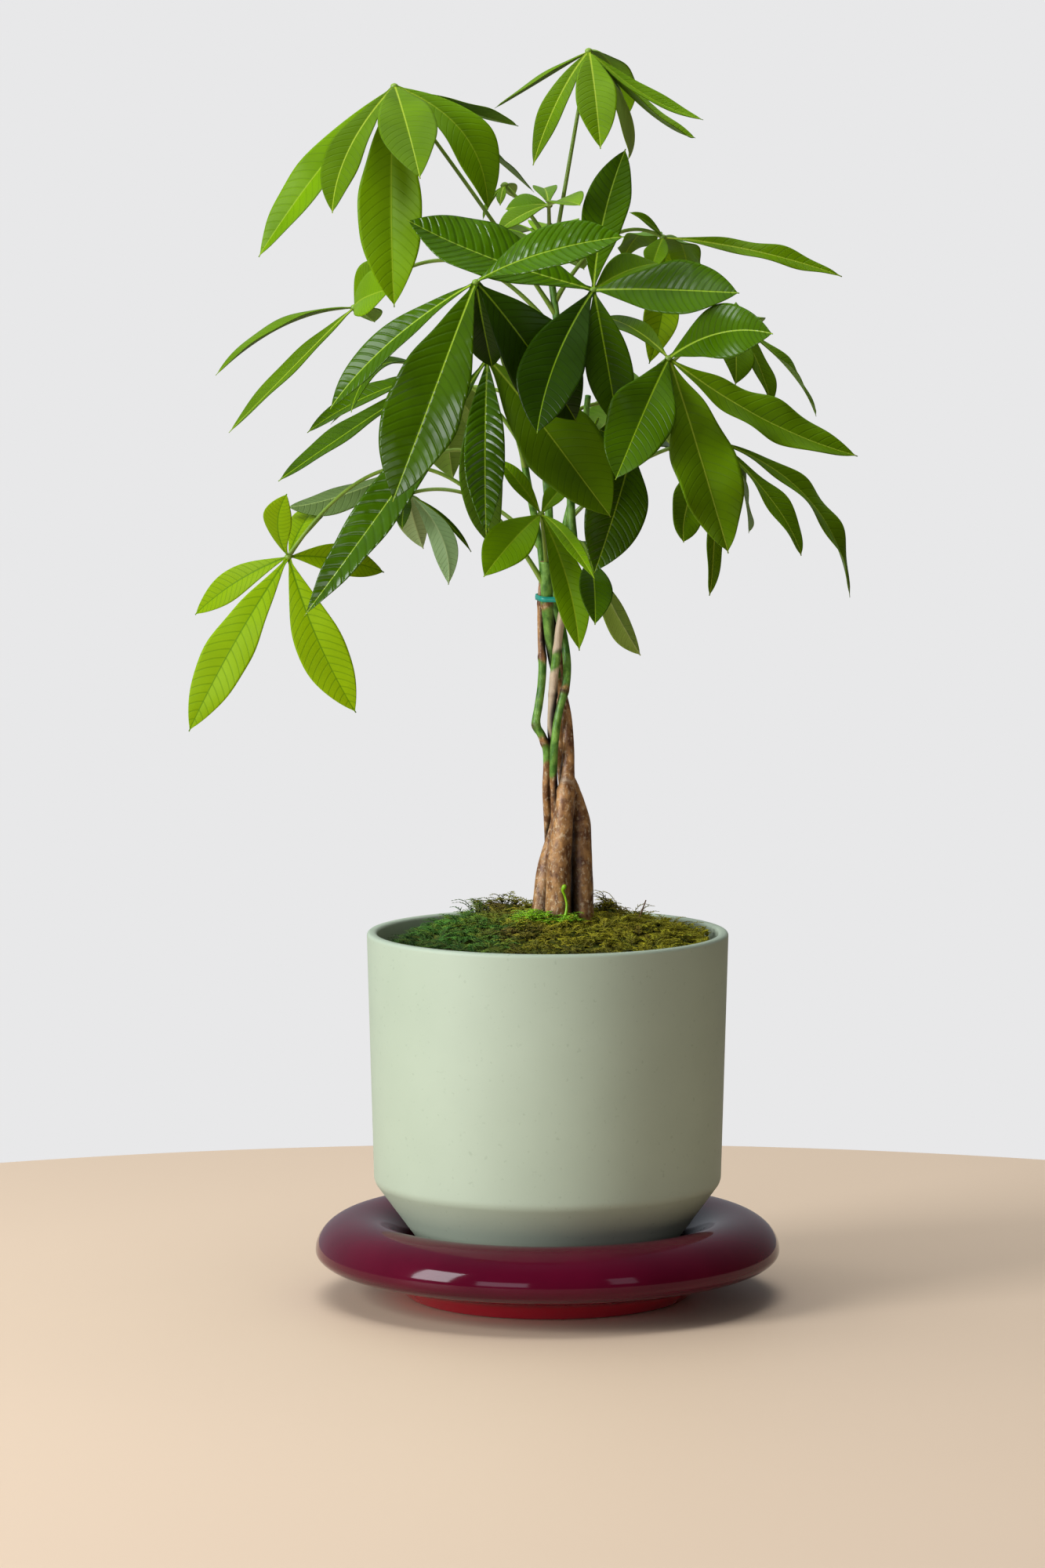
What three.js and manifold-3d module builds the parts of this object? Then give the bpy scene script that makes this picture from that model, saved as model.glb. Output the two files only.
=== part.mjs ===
// A potted money tree: five stems braided and tied, palmate leaves, moss over soil, in a tapered
// pot that stands in a bubble-rimmed saucer. Millimetres, +Z up, the viewer looks along +Y.
// The origin is the middle of the saucer's flat underside.
import * as THREE from 'three';
import { mergeVertices } from 'three/addons/utils/BufferGeometryUtils.js';
import Module from 'manifold-3d';

const wasm = await Module();
wasm.setup();

// ---- Driving dimensions ----
const GAP = 0.3; // clearance between touching pieces
const ROUND = 32; // facets round the pot and the saucer
const MOSS_ROUND = 24; // facets round the moss

const SAUCER = {
  footRadius: 70,
  floorTop: 8,
  wellRadius: 64,
  rimRadius: 94, // middle of the bubble rim
  rimWidest: 23, // height at which the rim is widest
  rimHalfWidth: 22,
  rimRise: 17.5, // the rim's section is fuller above its widest line than below
  rimDrop: 9.5,
};
const POT = {
  bottom: SAUCER.floorTop + GAP,
  rimHeight: 183,
  rimRadius: 90,
  bevelHeight: 58, // where the wall turns in towards the base
  bevelRadius: 86.6,
  baseRadius: 50,
  wall: 5,
  base: 7,
  drainRadius: 8,
};
const SOIL = { top: 171 };
const MOSS = { edgeHeight: 178, rise: 13, tilt: 0.025, radius: 82, lump: 1.5, rings: 4 };
const BLADE = { thickness: 0.8, fold: 0.2, arch: 0.09, tipHalfWidth: 0.5 };
const PETIOLE = { radius: 1.25, sides: 4, steps: 5 };
const HUB_RADIUS = 2.1;
const STEM_SIDES = 7;
const TIE = { height: 349.5, band: 2.6, thickness: 0.9, slack: 1.2, sides: 24 };

// ---- Front view ----
// Places on the plant are read off its front view, which is `size` units across and down, as seen
// from `eye` towards `aim`: [across, down] in view units, and then `forward`, the distance in mm
// that the point stands towards the viewer from the pot's axis. At the axis a unit is 0.389 mm.
const VIEW = {
  size: [1333, 2000],
  focal: 7751, // focal length in view units
  eye: new THREE.Vector3(-12.5, -3000, 574),
  aim: new THREE.Vector3(-12.5, 0, 256.6),
};

/** The point at [across, down, forward] of the front view. */
function seen([across, down, forward]) {
  const ahead = VIEW.aim.clone().sub(VIEW.eye).normalize();
  const right = new THREE.Vector3(1, 0, 0);
  const upward = right.clone().cross(ahead);
  const ray = ahead.multiplyScalar(VIEW.focal)
    .addScaledVector(right, across - VIEW.size[0] / 2)
    .addScaledVector(upward, VIEW.size[1] / 2 - down);
  return VIEW.eye.clone().addScaledVector(ray, (-forward - VIEW.eye.y) / ray.y);
}

// Each stem's route from the soil to its top: [across, down, forward, radius].
const STEMS = {
  stem_front: [
    [711, 1280, 8, 5.8], [712, 1165, 8.5, 6.3], [713, 1100, 9, 5.9], [718, 1048, 9, 5.2],
    [722, 1010, 6.5, 4.3], [724, 985, 4, 3.6], [725, 955, 1.5, 2.9], [724, 925, -1.5, 2.5],
    [720, 897, -3.2, 2.3], [712, 868, -3.5, 2.2], [705, 840, -1.5, 2.3], [701, 810, 1, 2.6],
    [698, 770, 4, 2.9], [697, 716, 5, 3.5],
  ],
  stem_right: [
    [743, 1280, 1, 5.3], [743, 1165, 1, 5.7], [743, 1100, 0, 5.0], [742, 1050, -3, 4.1],
    [733, 1010, -5, 3.0], [722, 985, -7, 2.6], [709, 960, -6, 2.3], [704, 938, 1, 2.1],
    [704, 910, 4.5, 2.1], [706, 870, 5.5, 2.1], [710, 835, 6, 2.1], [714, 800, 6, 2.1],
    [721, 768, 6, 2.1], [729, 735, 6, 2.1], [732, 700, 5, 2.1], [729, 660, 3, 2.1],
    [727, 600, 0, 2.0], [722, 520, -2, 2.0], [714, 440, -3, 1.9], [702, 340, -4, 1.7],
    [701, 285, -2, 1.4],
  ],
  stem_left: [
    [691, 1280, -2, 4.8], [692, 1165, -2, 5.0], [696, 1110, -3.5, 4.2], [703, 1075, -5, 3.3],
    [709, 1045, -1, 2.5], [707, 1010, 2, 2.0], [706, 985, 5, 2.0], [707, 955, 7.2, 2.0],
    [710, 925, 8, 2.0], [715, 900, 7, 2.0], [722, 873, 4.5, 2.0], [723, 842, -0.5, 2.0],
    [719, 812, -3.5, 2.0], [712, 785, -4.5, 2.0], [708, 763, -4.5, 2.0], [712, 720, -4, 2.0],
    [722, 670, -8, 1.9], [733, 620, -9, 1.8], [744, 560, -4, 1.7], [750, 505, 4, 1.5],
  ],
  stem_back_left: [
    [704, 1280, -14, 4.3], [704, 1165, -14, 4.5], [704, 1110, -13, 3.8], [702, 1075, -12, 2.9],
    [699, 1042, -7, 2.2], [697, 1010, -3.2, 2.0], [698, 980, -0.8, 2.0], [697, 955, 1, 2.0],
    [691, 938, 2.5, 2.0], [684, 924, 3, 2.0], [687, 900, 2, 2.0], [691, 870, 1, 2.0],
    [692, 840, 0.3, 2.0], [690, 810, -2, 1.7], [690, 765, -2.5, 1.7], [692, 730, -5.5, 1.7],
    [688, 690, -6, 1.7], [678, 640, -2, 1.8], [669, 590, 2, 1.8], [664, 535, 6, 1.5],
  ],
  stem_back_right: [
    [731, 1280, -11, 4.4], [731, 1165, -11, 4.6], [729, 1110, -12, 3.8], [724, 1062, -13, 3.0],
    [720, 1008, -13.5, 2.6], [716, 972, -13.5, 2.4], [714, 930, -12, 2.4], [713, 885, -11, 2.3],
    [715, 845, -9, 2.2], [706, 805, -8, 2.1], [699, 765, -7.5, 2.1], [702, 715, -12, 2.1],
    [700, 650, -20, 2.0], [694, 580, -26, 1.9], [690, 515, -30, 1.6],
  ],
};

// Each leaf: the stem it grows from and how far down the view its stalk starts, the hub where the
// leaflets meet, how high the stalk arches (mm), which way the leaf's upper side looks, and its
// leaflets: [across, down, forward] of the tip, full width, roll (degrees) about the midrib and,
// where the midrib doesn't just arch, the [across, down] that it passes half way along.
const LEAVES = {
  leaf_crown_left: {
    stem: 'stem_right', from: 402, hub: [503, 110, 20], rise: 2, up: [-0.1, -0.5, 0.85],
    leaflets: [
      [330, 328, 25, 21, -12, [407, 214]], [424, 272, 62, 20, 0, [444, 190]],
      [503, 392, 30, 32, 0], [536, 228, 88, 28, 0], [622, 268, 40, 25, 0, [594, 171]],
      [681, 245, -48, 20, 0, [599, 171]], [661, 161, -48, 14, -25, [587, 136]],
    ],
  },
  leaf_crown_right: {
    stem: 'stem_right', from: 345, hub: [751, 65, 10], rise: 0, up: [0, -0.35, 0.94],
    leaflets: [
      [631, 138, 15, 13, 20, [693, 98]], [680, 211, 42, 13, 0, [710, 129]],
      [766, 190, 58, 20, 0], [897, 153, 20, 13, 0, [822, 119]],
      [887, 176, -22, 22, 0, [829, 139]], [801, 204, -6, 23, 0, [799, 144]],
      [800, 150, -84, 22, 0],
    ],
  },
  leaf_young_tip: {
    stem: 'stem_right', from: 302, hub: [700, 262, 20], rise: 0, up: [0, -0.5, 0.86],
    leaflets: [
      [645, 267, 18, 14, -15], [634, 296, 34, 12, 0], [740, 262, 50, 18, 0],
      [692, 242, -26, 12, 0],
    ],
  },
  leaf_new_shoot: {
    stem: 'stem_right', from: 312, hub: [644, 236, -6], rise: 2, up: [-0.2, -0.3, 0.9],
    leaflets: [[638, 262, 4, 5, 0], [616, 280, -10, 8, 0], [655, 252, -34, 8, 0]],
  },
  leaf_left_high: {
    stem: 'stem_right', from: 432, hub: [452, 392, -12], rise: 30, up: [-0.35, -0.35, 0.87],
    leaflets: [
      [275, 479, -8, 17, 12, [358, 414]], [292, 552, 22, 15, 0, [376, 464]],
      [501, 334, 6, 18, 0], [500, 368, 30, 23, 0], [478, 411, -24, 17, 0],
    ],
  },
  leaf_front_left: {
    stem: 'stem_back_left', from: 545, hub: [607, 360, 84], rise: 4, up: [-0.15, -0.75, 0.65],
    leaflets: [
      [797, 302, 112, 27, 0, [692, 320]], [501, 640, 112, 40, 0, [551, 500]],
      [421, 522, 66, 17, 0, [497, 435]], [735, 538, 66, 38, 0, [680, 448]],
      [628, 468, 58, 18, 0],
    ],
  },
  leaf_front_mid: {
    stem: 'stem_right', from: 505, hub: [757, 370, 60], rise: 6, up: [0.05, -0.7, 0.72],
    leaflets: [
      [519, 281, 46, 35, 0, [633, 328]], [798, 190, 10, 22, 0, [770, 278]],
      [943, 374, 98, 27, 0, [852, 368]], [685, 553, 112, 31, 0, [708, 460]], [789, 548, 84, 23, 0, [774, 456]],
      [838, 336, 24, 20, 0],
    ],
  },
  leaf_centre: {
    stem: 'stem_back_left', from: 600, hub: [622, 457, 44], rise: 5, up: [-0.1, -0.7, 0.7],
    leaflets: [
      [620, 682, 84, 20, 0], [779, 660, 72, 40, 0, [707, 559]], [629, 699, 24, 21, 0, [613, 592]],
      [388, 786, 78, 23, 0, [506, 621]],
    ],
  },
  leaf_left_mid: {
    stem: 'stem_back_left', from: 570, hub: [560, 478, 8], rise: 8, up: [-0.4, -0.5, 0.77],
    leaflets: [
      [448, 526, 40, 15, 0, [486, 464]], [392, 552, 6, 15, 0, [470, 503]],
      [422, 541, -34, 11, 0], [355, 614, 34, 16, 0, [453, 543]],
    ],
  },
  leaf_left_low: {
    stem: 'stem_back_left', from: 640, hub: [546, 584, -8], rise: 12, up: [-0.4, -0.65, 0.65],
    leaflets: [
      [459, 676, 20, 21, 0, [502, 620]], [367, 647, 4, 18, 0, [444, 632]],
      [500, 640, -50, 18, 0],
    ],
  },
  leaf_bright_low: {
    stem: 'stem_front', from: 752, hub: [367, 713, 34], rise: 52, up: [-0.2, -0.92, 0.34],
    leaflets: [
      [241, 933, 46, 24, 0, [298, 821]], [454, 909, 40, 24, 0, [405, 816]],
      [249, 784, 8, 15, 0, [303, 741]], [366, 630, 66, 15, 0, [354, 670]],
      [411, 645, -22, 15, 0], [490, 730, 14, 16, 0, [430, 713]],
    ],
  },
  leaf_low_shade: {
    stem: 'stem_back_left', from: 700, hub: [521, 630, -34], rise: 12, up: [-0.3, -0.5, 0.8],
    leaflets: [
      [572, 746, -14, 13, 0, [563, 684]], [513, 675, -8, 9, 0], [540, 700, -84, 16, 0],
      [601, 704, -44, 4, 0],
    ],
  },
  leaf_trunk_front: {
    stem: 'stem_front', from: 724, hub: [690, 656, 30], rise: 2, up: [0, -0.8, 0.6],
    leaflets: [
      [617, 736, 66, 23, 0], [739, 830, 44, 17, 0, [724, 740]], [636, 586, 24, 9, 0],
      [719, 620, 14, 10, 0], [758, 738, 88, 8, 0],
    ],
  },
  leaf_trunk_right: {
    stem: 'stem_right', from: 700, hub: [752, 714, 30], rise: 5, up: [0.25, -0.8, 0.55],
    leaflets: [[759, 797, 74, 17, 0], [817, 836, 4, 15, 0, [784, 783]], [742, 690, 10, 9, 0]],
  },
  leaf_hanging: {
    stem: 'stem_left', from: 650, hub: [806, 572, 30], rise: 8, up: [0.3, -0.8, 0.5],
    leaflets: [
      [758, 731, 48, 30, 0, [789, 640]], [764, 548, 34, 16, 0], [846, 516, 36, 18, 0],
      [850, 566, -34, 16, 0],
    ],
  },
  leaf_right: {
    stem: 'stem_left', from: 600, hub: [853, 457, 72], rise: 6, up: [0.15, -0.72, 0.67],
    leaflets: [
      [986, 426, 116, 26, 45, [918, 424]], [770, 405, 30, 13, 0], [1094, 582, 62, 24, 0, [970, 530]],
      [929, 706, 96, 33, 0, [895, 582]], [785, 612, 104, 32, 0],
    ],
  },
  leaf_right_back: {
    stem: 'stem_left', from: 635, hub: [932, 408, 14], rise: 12, up: [0.4, -0.3, 0.85],
    leaflets: [
      [938, 491, 40, 17, 0], [984, 518, 22, 17, 0], [1041, 531, -14, 14, 0, [1007, 468]],
      [900, 440, -66, 20, 0], [958, 416, -44, 16, 0],
    ],
  },
  leaf_right_low: {
    stem: 'stem_left', from: 668, hub: [912, 562, 28], rise: 10, up: [0.5, -0.5, 0.7],
    leaflets: [
      [1022, 709, 42, 16, 0, [988, 640]], [1084, 762, 8, 18, 0, [1037, 640]],
      [905, 760, 42, 10, 0, [912, 680]], [955, 680, -16, 17, 0],
      [872, 692, 62, 18, 0, [880, 636]],
    ],
  },
  leaf_right_high: {
    stem: 'stem_right', from: 388, hub: [846, 303, -14], rise: 16, up: [0.1, -0.45, 0.88],
    leaflets: [
      [1074, 353, -2, 11, 20, [966, 320]], [828, 464, 10, 17, 0, [846, 386]],
      [803, 271, -10, 7, 0], [830, 346, 10, 12, 0], [878, 358, -92, 22, 0],
      [795, 330, -84, 18, 0],
    ],
  },
  leaf_back_top: {
    stem: 'stem_right', from: 360, hub: [700, 316, -66], rise: 6, up: [0, 0.5, 0.86],
    leaflets: [
      [628, 318, -112, 24, 0], [655, 300, -146, 26, 0], [712, 296, -154, 26, 0],
      [772, 318, -134, 26, 0], [745, 344, -112, 22, 0],
    ],
  },
  leaf_back_left: {
    stem: 'stem_back_right', from: 540, hub: [575, 500, -70], rise: 8, up: [-0.4, 0.5, 0.75],
    leaflets: [
      [508, 520, -112, 24, 0], [530, 590, -128, 28, 0], [578, 612, -146, 28, 0],
      [625, 560, -138, 24, 0], [560, 455, -140, 24, 0],
    ],
  },
  leaf_back_right: {
    stem: 'stem_back_right', from: 560, hub: [808, 520, -74], rise: 8, up: [0.4, 0.5, 0.75],
    leaflets: [
      [872, 532, -118, 24, 0], [868, 590, -122, 28, 0], [795, 604, -146, 28, 0],
      [750, 565, -138, 24, 0], [822, 490, -150, 22, 0],
    ],
  },
  leaf_back_mid: {
    stem: 'stem_back_right', from: 620, hub: [735, 590, -84], rise: 10, up: [0, 0.6, 0.8],
    leaflets: [
      [712, 620, -118, 22, 0], [705, 530, -140, 24, 0], [762, 540, -108, 26, 0],
      [800, 600, -130, 26, 0], [770, 640, -138, 24, 0],
    ],
  },
};

// ---- Solids ----

/** A manifold solid from a closed three.js geometry. */
function solidOf(geometry) {
  const bare = geometry.index ? geometry.toNonIndexed() : geometry.clone();
  bare.deleteAttribute('normal');
  bare.deleteAttribute('uv');
  const merged = mergeVertices(bare, 1e-4);
  return new wasm.Manifold(new wasm.Mesh({
    numProp: 3,
    vertProperties: merged.attributes.position.array,
    triVerts: new Uint32Array(merged.index.array),
  }));
}

/** The three.js geometry of a manifold solid. */
function geometryOf(solid) {
  const { vertProperties, triVerts } = solid.getMesh();
  return new THREE.BufferGeometry()
    .setAttribute('position', new THREE.BufferAttribute(vertProperties, 3))
    .setIndex(new THREE.BufferAttribute(triVerts, 1));
}

/**
 * Joins rings of points into one closed surface. `caps` are the triangles that close the first
 * ring, and `crossed(i)` says whether the quad that starts at corner i is split the other way.
 */
function loft(rings, caps, crossed = () => false) {
  const count = rings[0].length;
  const index = [];
  for (let r = 0; r + 1 < rings.length; r++) {
    for (let i = 0; i < count; i++) {
      const a = r * count + i;
      const b = r * count + ((i + 1) % count);
      const [c, d] = [b + count, a + count];
      index.push(...(crossed(i) ? [a, b, d, b, c, d] : [a, b, c, a, c, d]));
    }
  }
  const last = (rings.length - 1) * count;
  for (const [i, j, k] of caps) index.push(i, k, j, last + i, last + j, last + k);
  const points = rings.flat().flatMap((p) => p.toArray());
  return new THREE.BufferGeometry()
    .setAttribute('position', new THREE.Float32BufferAttribute(points, 3))
    .setIndex(index);
}

/** A round tube along a curve, `radiusAt(t)` thick, with rings that don't twist. */
function tube(curve, radiusAt, sides, steps) {
  const frames = curve.computeFrenetFrames(steps, false);
  const rings = [];
  for (let s = 0; s <= steps; s++) {
    const middle = curve.getPointAt(s / steps);
    const radius = radiusAt(s / steps);
    rings.push(Array.from({ length: sides }, (_, i) => {
      const turn = (2 * Math.PI * i) / sides;
      return middle.clone()
        .addScaledVector(frames.normals[s], radius * Math.cos(turn))
        .addScaledVector(frames.binormals[s], radius * Math.sin(turn));
    }));
  }
  const caps = Array.from({ length: sides - 2 }, (_, i) => [0, i + 1, i + 2]);
  return solidOf(loft(rings, caps));
}

/** A solid turned about the Z axis from a closed [radius, height] outline. */
function turned(outline, sides = ROUND) {
  const points = outline.map(([radius, height]) => new THREE.Vector2(radius, height));
  return solidOf(new THREE.LatheGeometry(points, sides).rotateX(Math.PI / 2));
}

// ---- Saucer, pot, soil and moss ----

function buildSaucer() {
  const rim = [];
  for (let s = -3; s <= 7; s++) {
    const turn = (s * Math.PI) / 6.4; // from under the rim round to the inside of the well
    const reach = s < 0 ? SAUCER.rimDrop : SAUCER.rimRise;
    rim.push([
      SAUCER.rimRadius + SAUCER.rimHalfWidth * Math.cos(turn),
      SAUCER.rimWidest + reach * Math.sin(turn),
    ]);
  }
  return turned([
    [0, 0], [SAUCER.footRadius, 0], [SAUCER.footRadius + 9, 9], ...rim,
    [SAUCER.wellRadius, SAUCER.floorTop], [0, SAUCER.floorTop],
  ]);
}

/** The wall's outline from base to rim, `inset` mm inside the pot's outer face. */
function potProfile(inset, bottom, top) {
  const bevelRun = (POT.bevelRadius - POT.baseRadius) / (POT.bevelHeight - POT.bottom);
  const wallRun = (POT.rimRadius - POT.bevelRadius) / (POT.rimHeight - POT.bevelHeight);
  const kneeHeight = POT.bevelHeight + inset * 0.35; // the inner knee stands a little higher
  const kneeRadius = POT.bevelRadius - inset;
  return [
    [kneeRadius - bevelRun * (kneeHeight - bottom), bottom],
    [kneeRadius, kneeHeight],
    [kneeRadius + wallRun * (top - kneeHeight), top],
  ];
}

function buildPot() {
  const lip = 1.6; // how far the rim is rounded off
  const outer = potProfile(0, POT.bottom, POT.rimHeight - lip);
  const inner = potProfile(POT.wall, POT.bottom + POT.base, POT.rimHeight - lip).reverse();
  return turned([
    [POT.drainRadius, POT.bottom], ...outer,
    [POT.rimRadius - lip, POT.rimHeight], [POT.rimRadius - POT.wall + lip, POT.rimHeight],
    ...inner, [POT.drainRadius, POT.bottom + POT.base], [POT.drainRadius, POT.bottom],
  ]);
}

function buildSoil(holes) {
  const floor = POT.bottom + POT.base + GAP;
  return turned([[0, floor], ...potProfile(POT.wall + GAP, floor, SOIL.top), [0, SOIL.top]])
    .subtract(holes);
}

/** Height of the moss at a place: a low mound with clumps on it. */
function mossHeight(x, y) {
  const share = Math.min(1, Math.hypot(x, y) / MOSS.radius);
  const clumps = Math.sin(x / 6.1 + Math.sin(y / 9)) * Math.sin(y / 5.3 + Math.cos(x / 8));
  const mound = MOSS.edgeHeight + MOSS.tilt * x + MOSS.rise * (1 - share ** 1.7);
  return mound + MOSS.lump * clumps * (1 - share ** 6);
}

function buildMoss(holes) {
  const bottom = SOIL.top + GAP;
  const rings = [];
  for (let r = 0; r <= MOSS.rings; r++) {
    const radius = MOSS.radius * Math.max(0.02, r / MOSS.rings);
    rings.push(Array.from({ length: MOSS_ROUND }, (_, i) => {
      const turn = (2 * Math.PI * i) / MOSS_ROUND;
      const [x, y] = [radius * Math.cos(turn), radius * Math.sin(turn)];
      return new THREE.Vector3(x, y, r === MOSS.rings ? mossHeight(x, y) - 3 : mossHeight(x, y));
    }));
  }
  rings.push(rings.at(-1).map((p) => new THREE.Vector3(p.x, p.y, bottom)));
  rings.push(rings[0].map((p) => new THREE.Vector3(p.x, p.y, bottom)));
  const caps = Array.from({ length: MOSS_ROUND - 2 }, (_, i) => [0, i + 1, i + 2]);
  const mound = loft(rings, caps);
  mound.setIndex([...mound.index.array].reverse());
  return solidOf(mound).subtract(holes);
}

// ---- Stems and tie ----

/** A stem's centreline and its radius, from its route in the front view. */
function stemLine(route) {
  const points = route.map(seen);
  const curve = new THREE.CatmullRomCurve3(points, false, 'catmullrom', 0.5);
  const radiusAt = (t) => {
    const place = curve.getUtoTmapping(t) * (route.length - 1);
    const i = Math.min(route.length - 2, Math.floor(place));
    return THREE.MathUtils.lerp(route[i][3], route[i + 1][3], place - i);
  };
  return { curve, radiusAt, steps: Math.round(route.length * 1.15) };
}

/** The share of the way along a rising curve at which it reaches a height. */
function shareAtHeight(curve, height) {
  let [low, high] = [0, 1];
  for (let i = 0; i < 30; i++) {
    const middle = (low + high) / 2;
    if (curve.getPointAt(middle).z < height) low = middle;
    else high = middle;
  }
  return low;
}

/** A flat band pulled tight round all the stems at one height. */
function buildTie(lines) {
  const circles = lines.map(({ curve, radiusAt }) => {
    const share = shareAtHeight(curve, TIE.height);
    return { middle: curve.getPointAt(share), radius: radiusAt(share) };
  });
  const outline = (offset) => Array.from({ length: TIE.sides }, (_, i) => {
    const turn = (2 * Math.PI * i) / TIE.sides;
    const [x, y] = [Math.cos(turn), Math.sin(turn)];
    const reach = (c) => c.middle.x * x + c.middle.y * y + c.radius;
    const outermost = circles.reduce((best, c) => (reach(c) > reach(best) ? c : best));
    const distance = outermost.radius + offset;
    return new THREE.Vector2(outermost.middle.x + distance * x, outermost.middle.y + distance * y);
  });
  const band = new THREE.Shape(outline(TIE.slack + TIE.thickness));
  band.holes.push(new THREE.Path(outline(TIE.slack).reverse()));
  return solidOf(new THREE.ExtrudeGeometry(band, { depth: TIE.band, bevelEnabled: false })
    .translate(0, 0, TIE.height - TIE.band / 2));
}

// ---- Leaves ----

/** Share of a leaflet's width at t, from its stalk (0) to its drawn-out tip (1). */
function bladeWidth(t) {
  return Math.sin(Math.PI * t ** 1.4);
}

/** One leaflet: a thin arched blade, folded a little so that its midrib lies below its margins. */
function buildLeaflet(hub, up, [across, down, forward, width, roll, bend]) {
  const tip = seen([across, down, forward]);
  const run = tip.clone().sub(hub);
  const length = run.length();
  const along = run.clone().normalize();
  const face = up.clone().addScaledVector(along, -up.dot(along)).normalize()
    .applyAxisAngle(along, THREE.MathUtils.degToRad(roll));
  const side = face.clone().cross(along);
  const straight = hub.clone().addScaledVector(run, 0.5);
  const arch = face.clone().multiplyScalar(BLADE.arch * length);
  if (bend) arch.copy(seen([...bend, -straight.y - arch.y])).sub(straight);
  const stations = [0, 0.22, 0.5, 0.78, 1];
  const rings = stations.map((t) => {
    const heading = run.clone().addScaledVector(arch, 4 * (1 - 2 * t)).normalize();
    const normal = heading.clone().cross(side).normalize();
    const middle = hub.clone().addScaledVector(run, t).addScaledVector(arch, 4 * t * (1 - t));
    const half = Math.max(BLADE.tipHalfWidth, (width / 2) * (t < 1 ? bladeWidth(t) : 0));
    const at = (sideways, thick) => middle.clone()
      .addScaledVector(side, sideways * half)
      .addScaledVector(normal, (Math.abs(sideways) - 0.5) * BLADE.fold * half + thick);
    const thick = BLADE.thickness / 2;
    return [at(1, thick), at(0, thick), at(-1, thick), at(-1, -thick), at(0, -thick), at(1, -thick)];
  });
  const caps = [[0, 1, 4], [0, 4, 5], [1, 2, 3], [1, 3, 4]];
  return solidOf(loft(rings, caps, (i) => i > 2));
}

/** The stalk's centreline, from the middle of its stem to the hub. */
function petioleLine(start, hub, rise) {
  const bend = start.clone().lerp(hub, 0.5);
  bend.z += 2 * rise;
  return new THREE.QuadraticBezierCurve3(start, bend, hub);
}

function buildLeaf(leaf, line, clearOfStem) {
  const hub = seen(leaf.hub);
  const up = new THREE.Vector3(...leaf.up).normalize();
  const startHeight = seen([VIEW.size[0] / 2, leaf.from, 0]).z;
  const start = line.curve.getPointAt(shareAtHeight(line.curve, startHeight));
  const stalk = tube(
    petioleLine(start, hub, leaf.rise),
    (t) => PETIOLE.radius * (1.25 - 0.35 * t),
    PETIOLE.sides,
    PETIOLE.steps,
  ).subtract(clearOfStem);
  const knuckle = solidOf(new THREE.OctahedronGeometry(HUB_RADIUS, 0).translate(...hub.toArray()));
  return leaf.leaflets.reduce(
    (whole, leaflet) => whole.add(buildLeaflet(hub, up, leaflet)),
    stalk.add(knuckle),
  );
}

// ---- The object ----

function material(color, roughness) {
  return new THREE.MeshStandardMaterial({ color, roughness, metalness: 0 });
}
const MATERIALS = {
  glaze: material('#6d1030', 0.12),
  stoneware: material('#b9c7ae', 0.75),
  soil: material('#3a2a1e', 1),
  moss: material('#56691f', 0.95),
  bark: material('#8a6a4f', 0.8),
  tie: material('#1f9f83', 0.4),
  leaf: material('#3f7a12', 0.4),
};

const plant = new THREE.Group();

function place(name, solid, surface) {
  const mesh = new THREE.Mesh(geometryOf(solid), surface);
  mesh.name = name;
  plant.add(mesh);
}

const lines = Object.fromEntries(
  Object.entries(STEMS).map(([name, route]) => [name, stemLine(route)]),
);
const stemTube = ({ curve, radiusAt, steps }, clearance) =>
  tube(curve, (t) => radiusAt(t) + clearance, STEM_SIDES, steps);
const clearOf = Object.fromEntries(
  Object.entries(lines).map(([name, line]) => [name, stemTube(line, 2 * GAP)]),
);
const stemHoles = Object.values(clearOf).reduce((all, one) => all.add(one));

place('saucer', buildSaucer(), MATERIALS.glaze);
place('pot', buildPot(), MATERIALS.stoneware);
place('soil', buildSoil(stemHoles), MATERIALS.soil);
place('moss', buildMoss(stemHoles), MATERIALS.moss);
for (const [name, line] of Object.entries(lines)) place(name, stemTube(line, 0), MATERIALS.bark);
place('tie', buildTie(Object.values(lines)), MATERIALS.tie);
for (const [name, leaf] of Object.entries(LEAVES)) {
  place(name, buildLeaf(leaf, lines[leaf.stem], clearOf[leaf.stem]), MATERIALS.leaf);
}

export default plant;
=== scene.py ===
"""A potted money tree: palmate leaves on five braided stems, moss over soil, a pot and a saucer.

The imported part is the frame, in metres. The plant's own places are read off its front view, in
view units and millimetres, as they are in the part's source, and FrontView turns them to places
in the frame. Every mesh is worked out in millimetres and scaled once, when its piece is made.
"""

import logging
import math
from dataclasses import dataclass, field
from enum import Enum

import bpy
import numpy as np
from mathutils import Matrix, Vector


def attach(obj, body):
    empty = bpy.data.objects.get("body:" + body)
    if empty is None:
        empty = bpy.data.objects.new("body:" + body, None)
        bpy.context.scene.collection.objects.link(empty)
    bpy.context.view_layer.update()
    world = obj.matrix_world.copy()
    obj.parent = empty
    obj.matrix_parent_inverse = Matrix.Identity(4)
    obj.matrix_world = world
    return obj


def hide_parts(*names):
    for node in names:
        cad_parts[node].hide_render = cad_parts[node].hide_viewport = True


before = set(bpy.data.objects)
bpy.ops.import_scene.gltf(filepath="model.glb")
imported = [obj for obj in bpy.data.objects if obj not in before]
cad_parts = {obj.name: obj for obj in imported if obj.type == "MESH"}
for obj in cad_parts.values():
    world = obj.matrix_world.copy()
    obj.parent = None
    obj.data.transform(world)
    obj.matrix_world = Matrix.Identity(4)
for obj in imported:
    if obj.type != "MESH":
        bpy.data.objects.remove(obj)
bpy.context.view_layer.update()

log = logging.getLogger("money_tree")

MM = 0.001
SEED = 7
CURVE_STEPS = 30

Point = tuple[float, ...]


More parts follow.
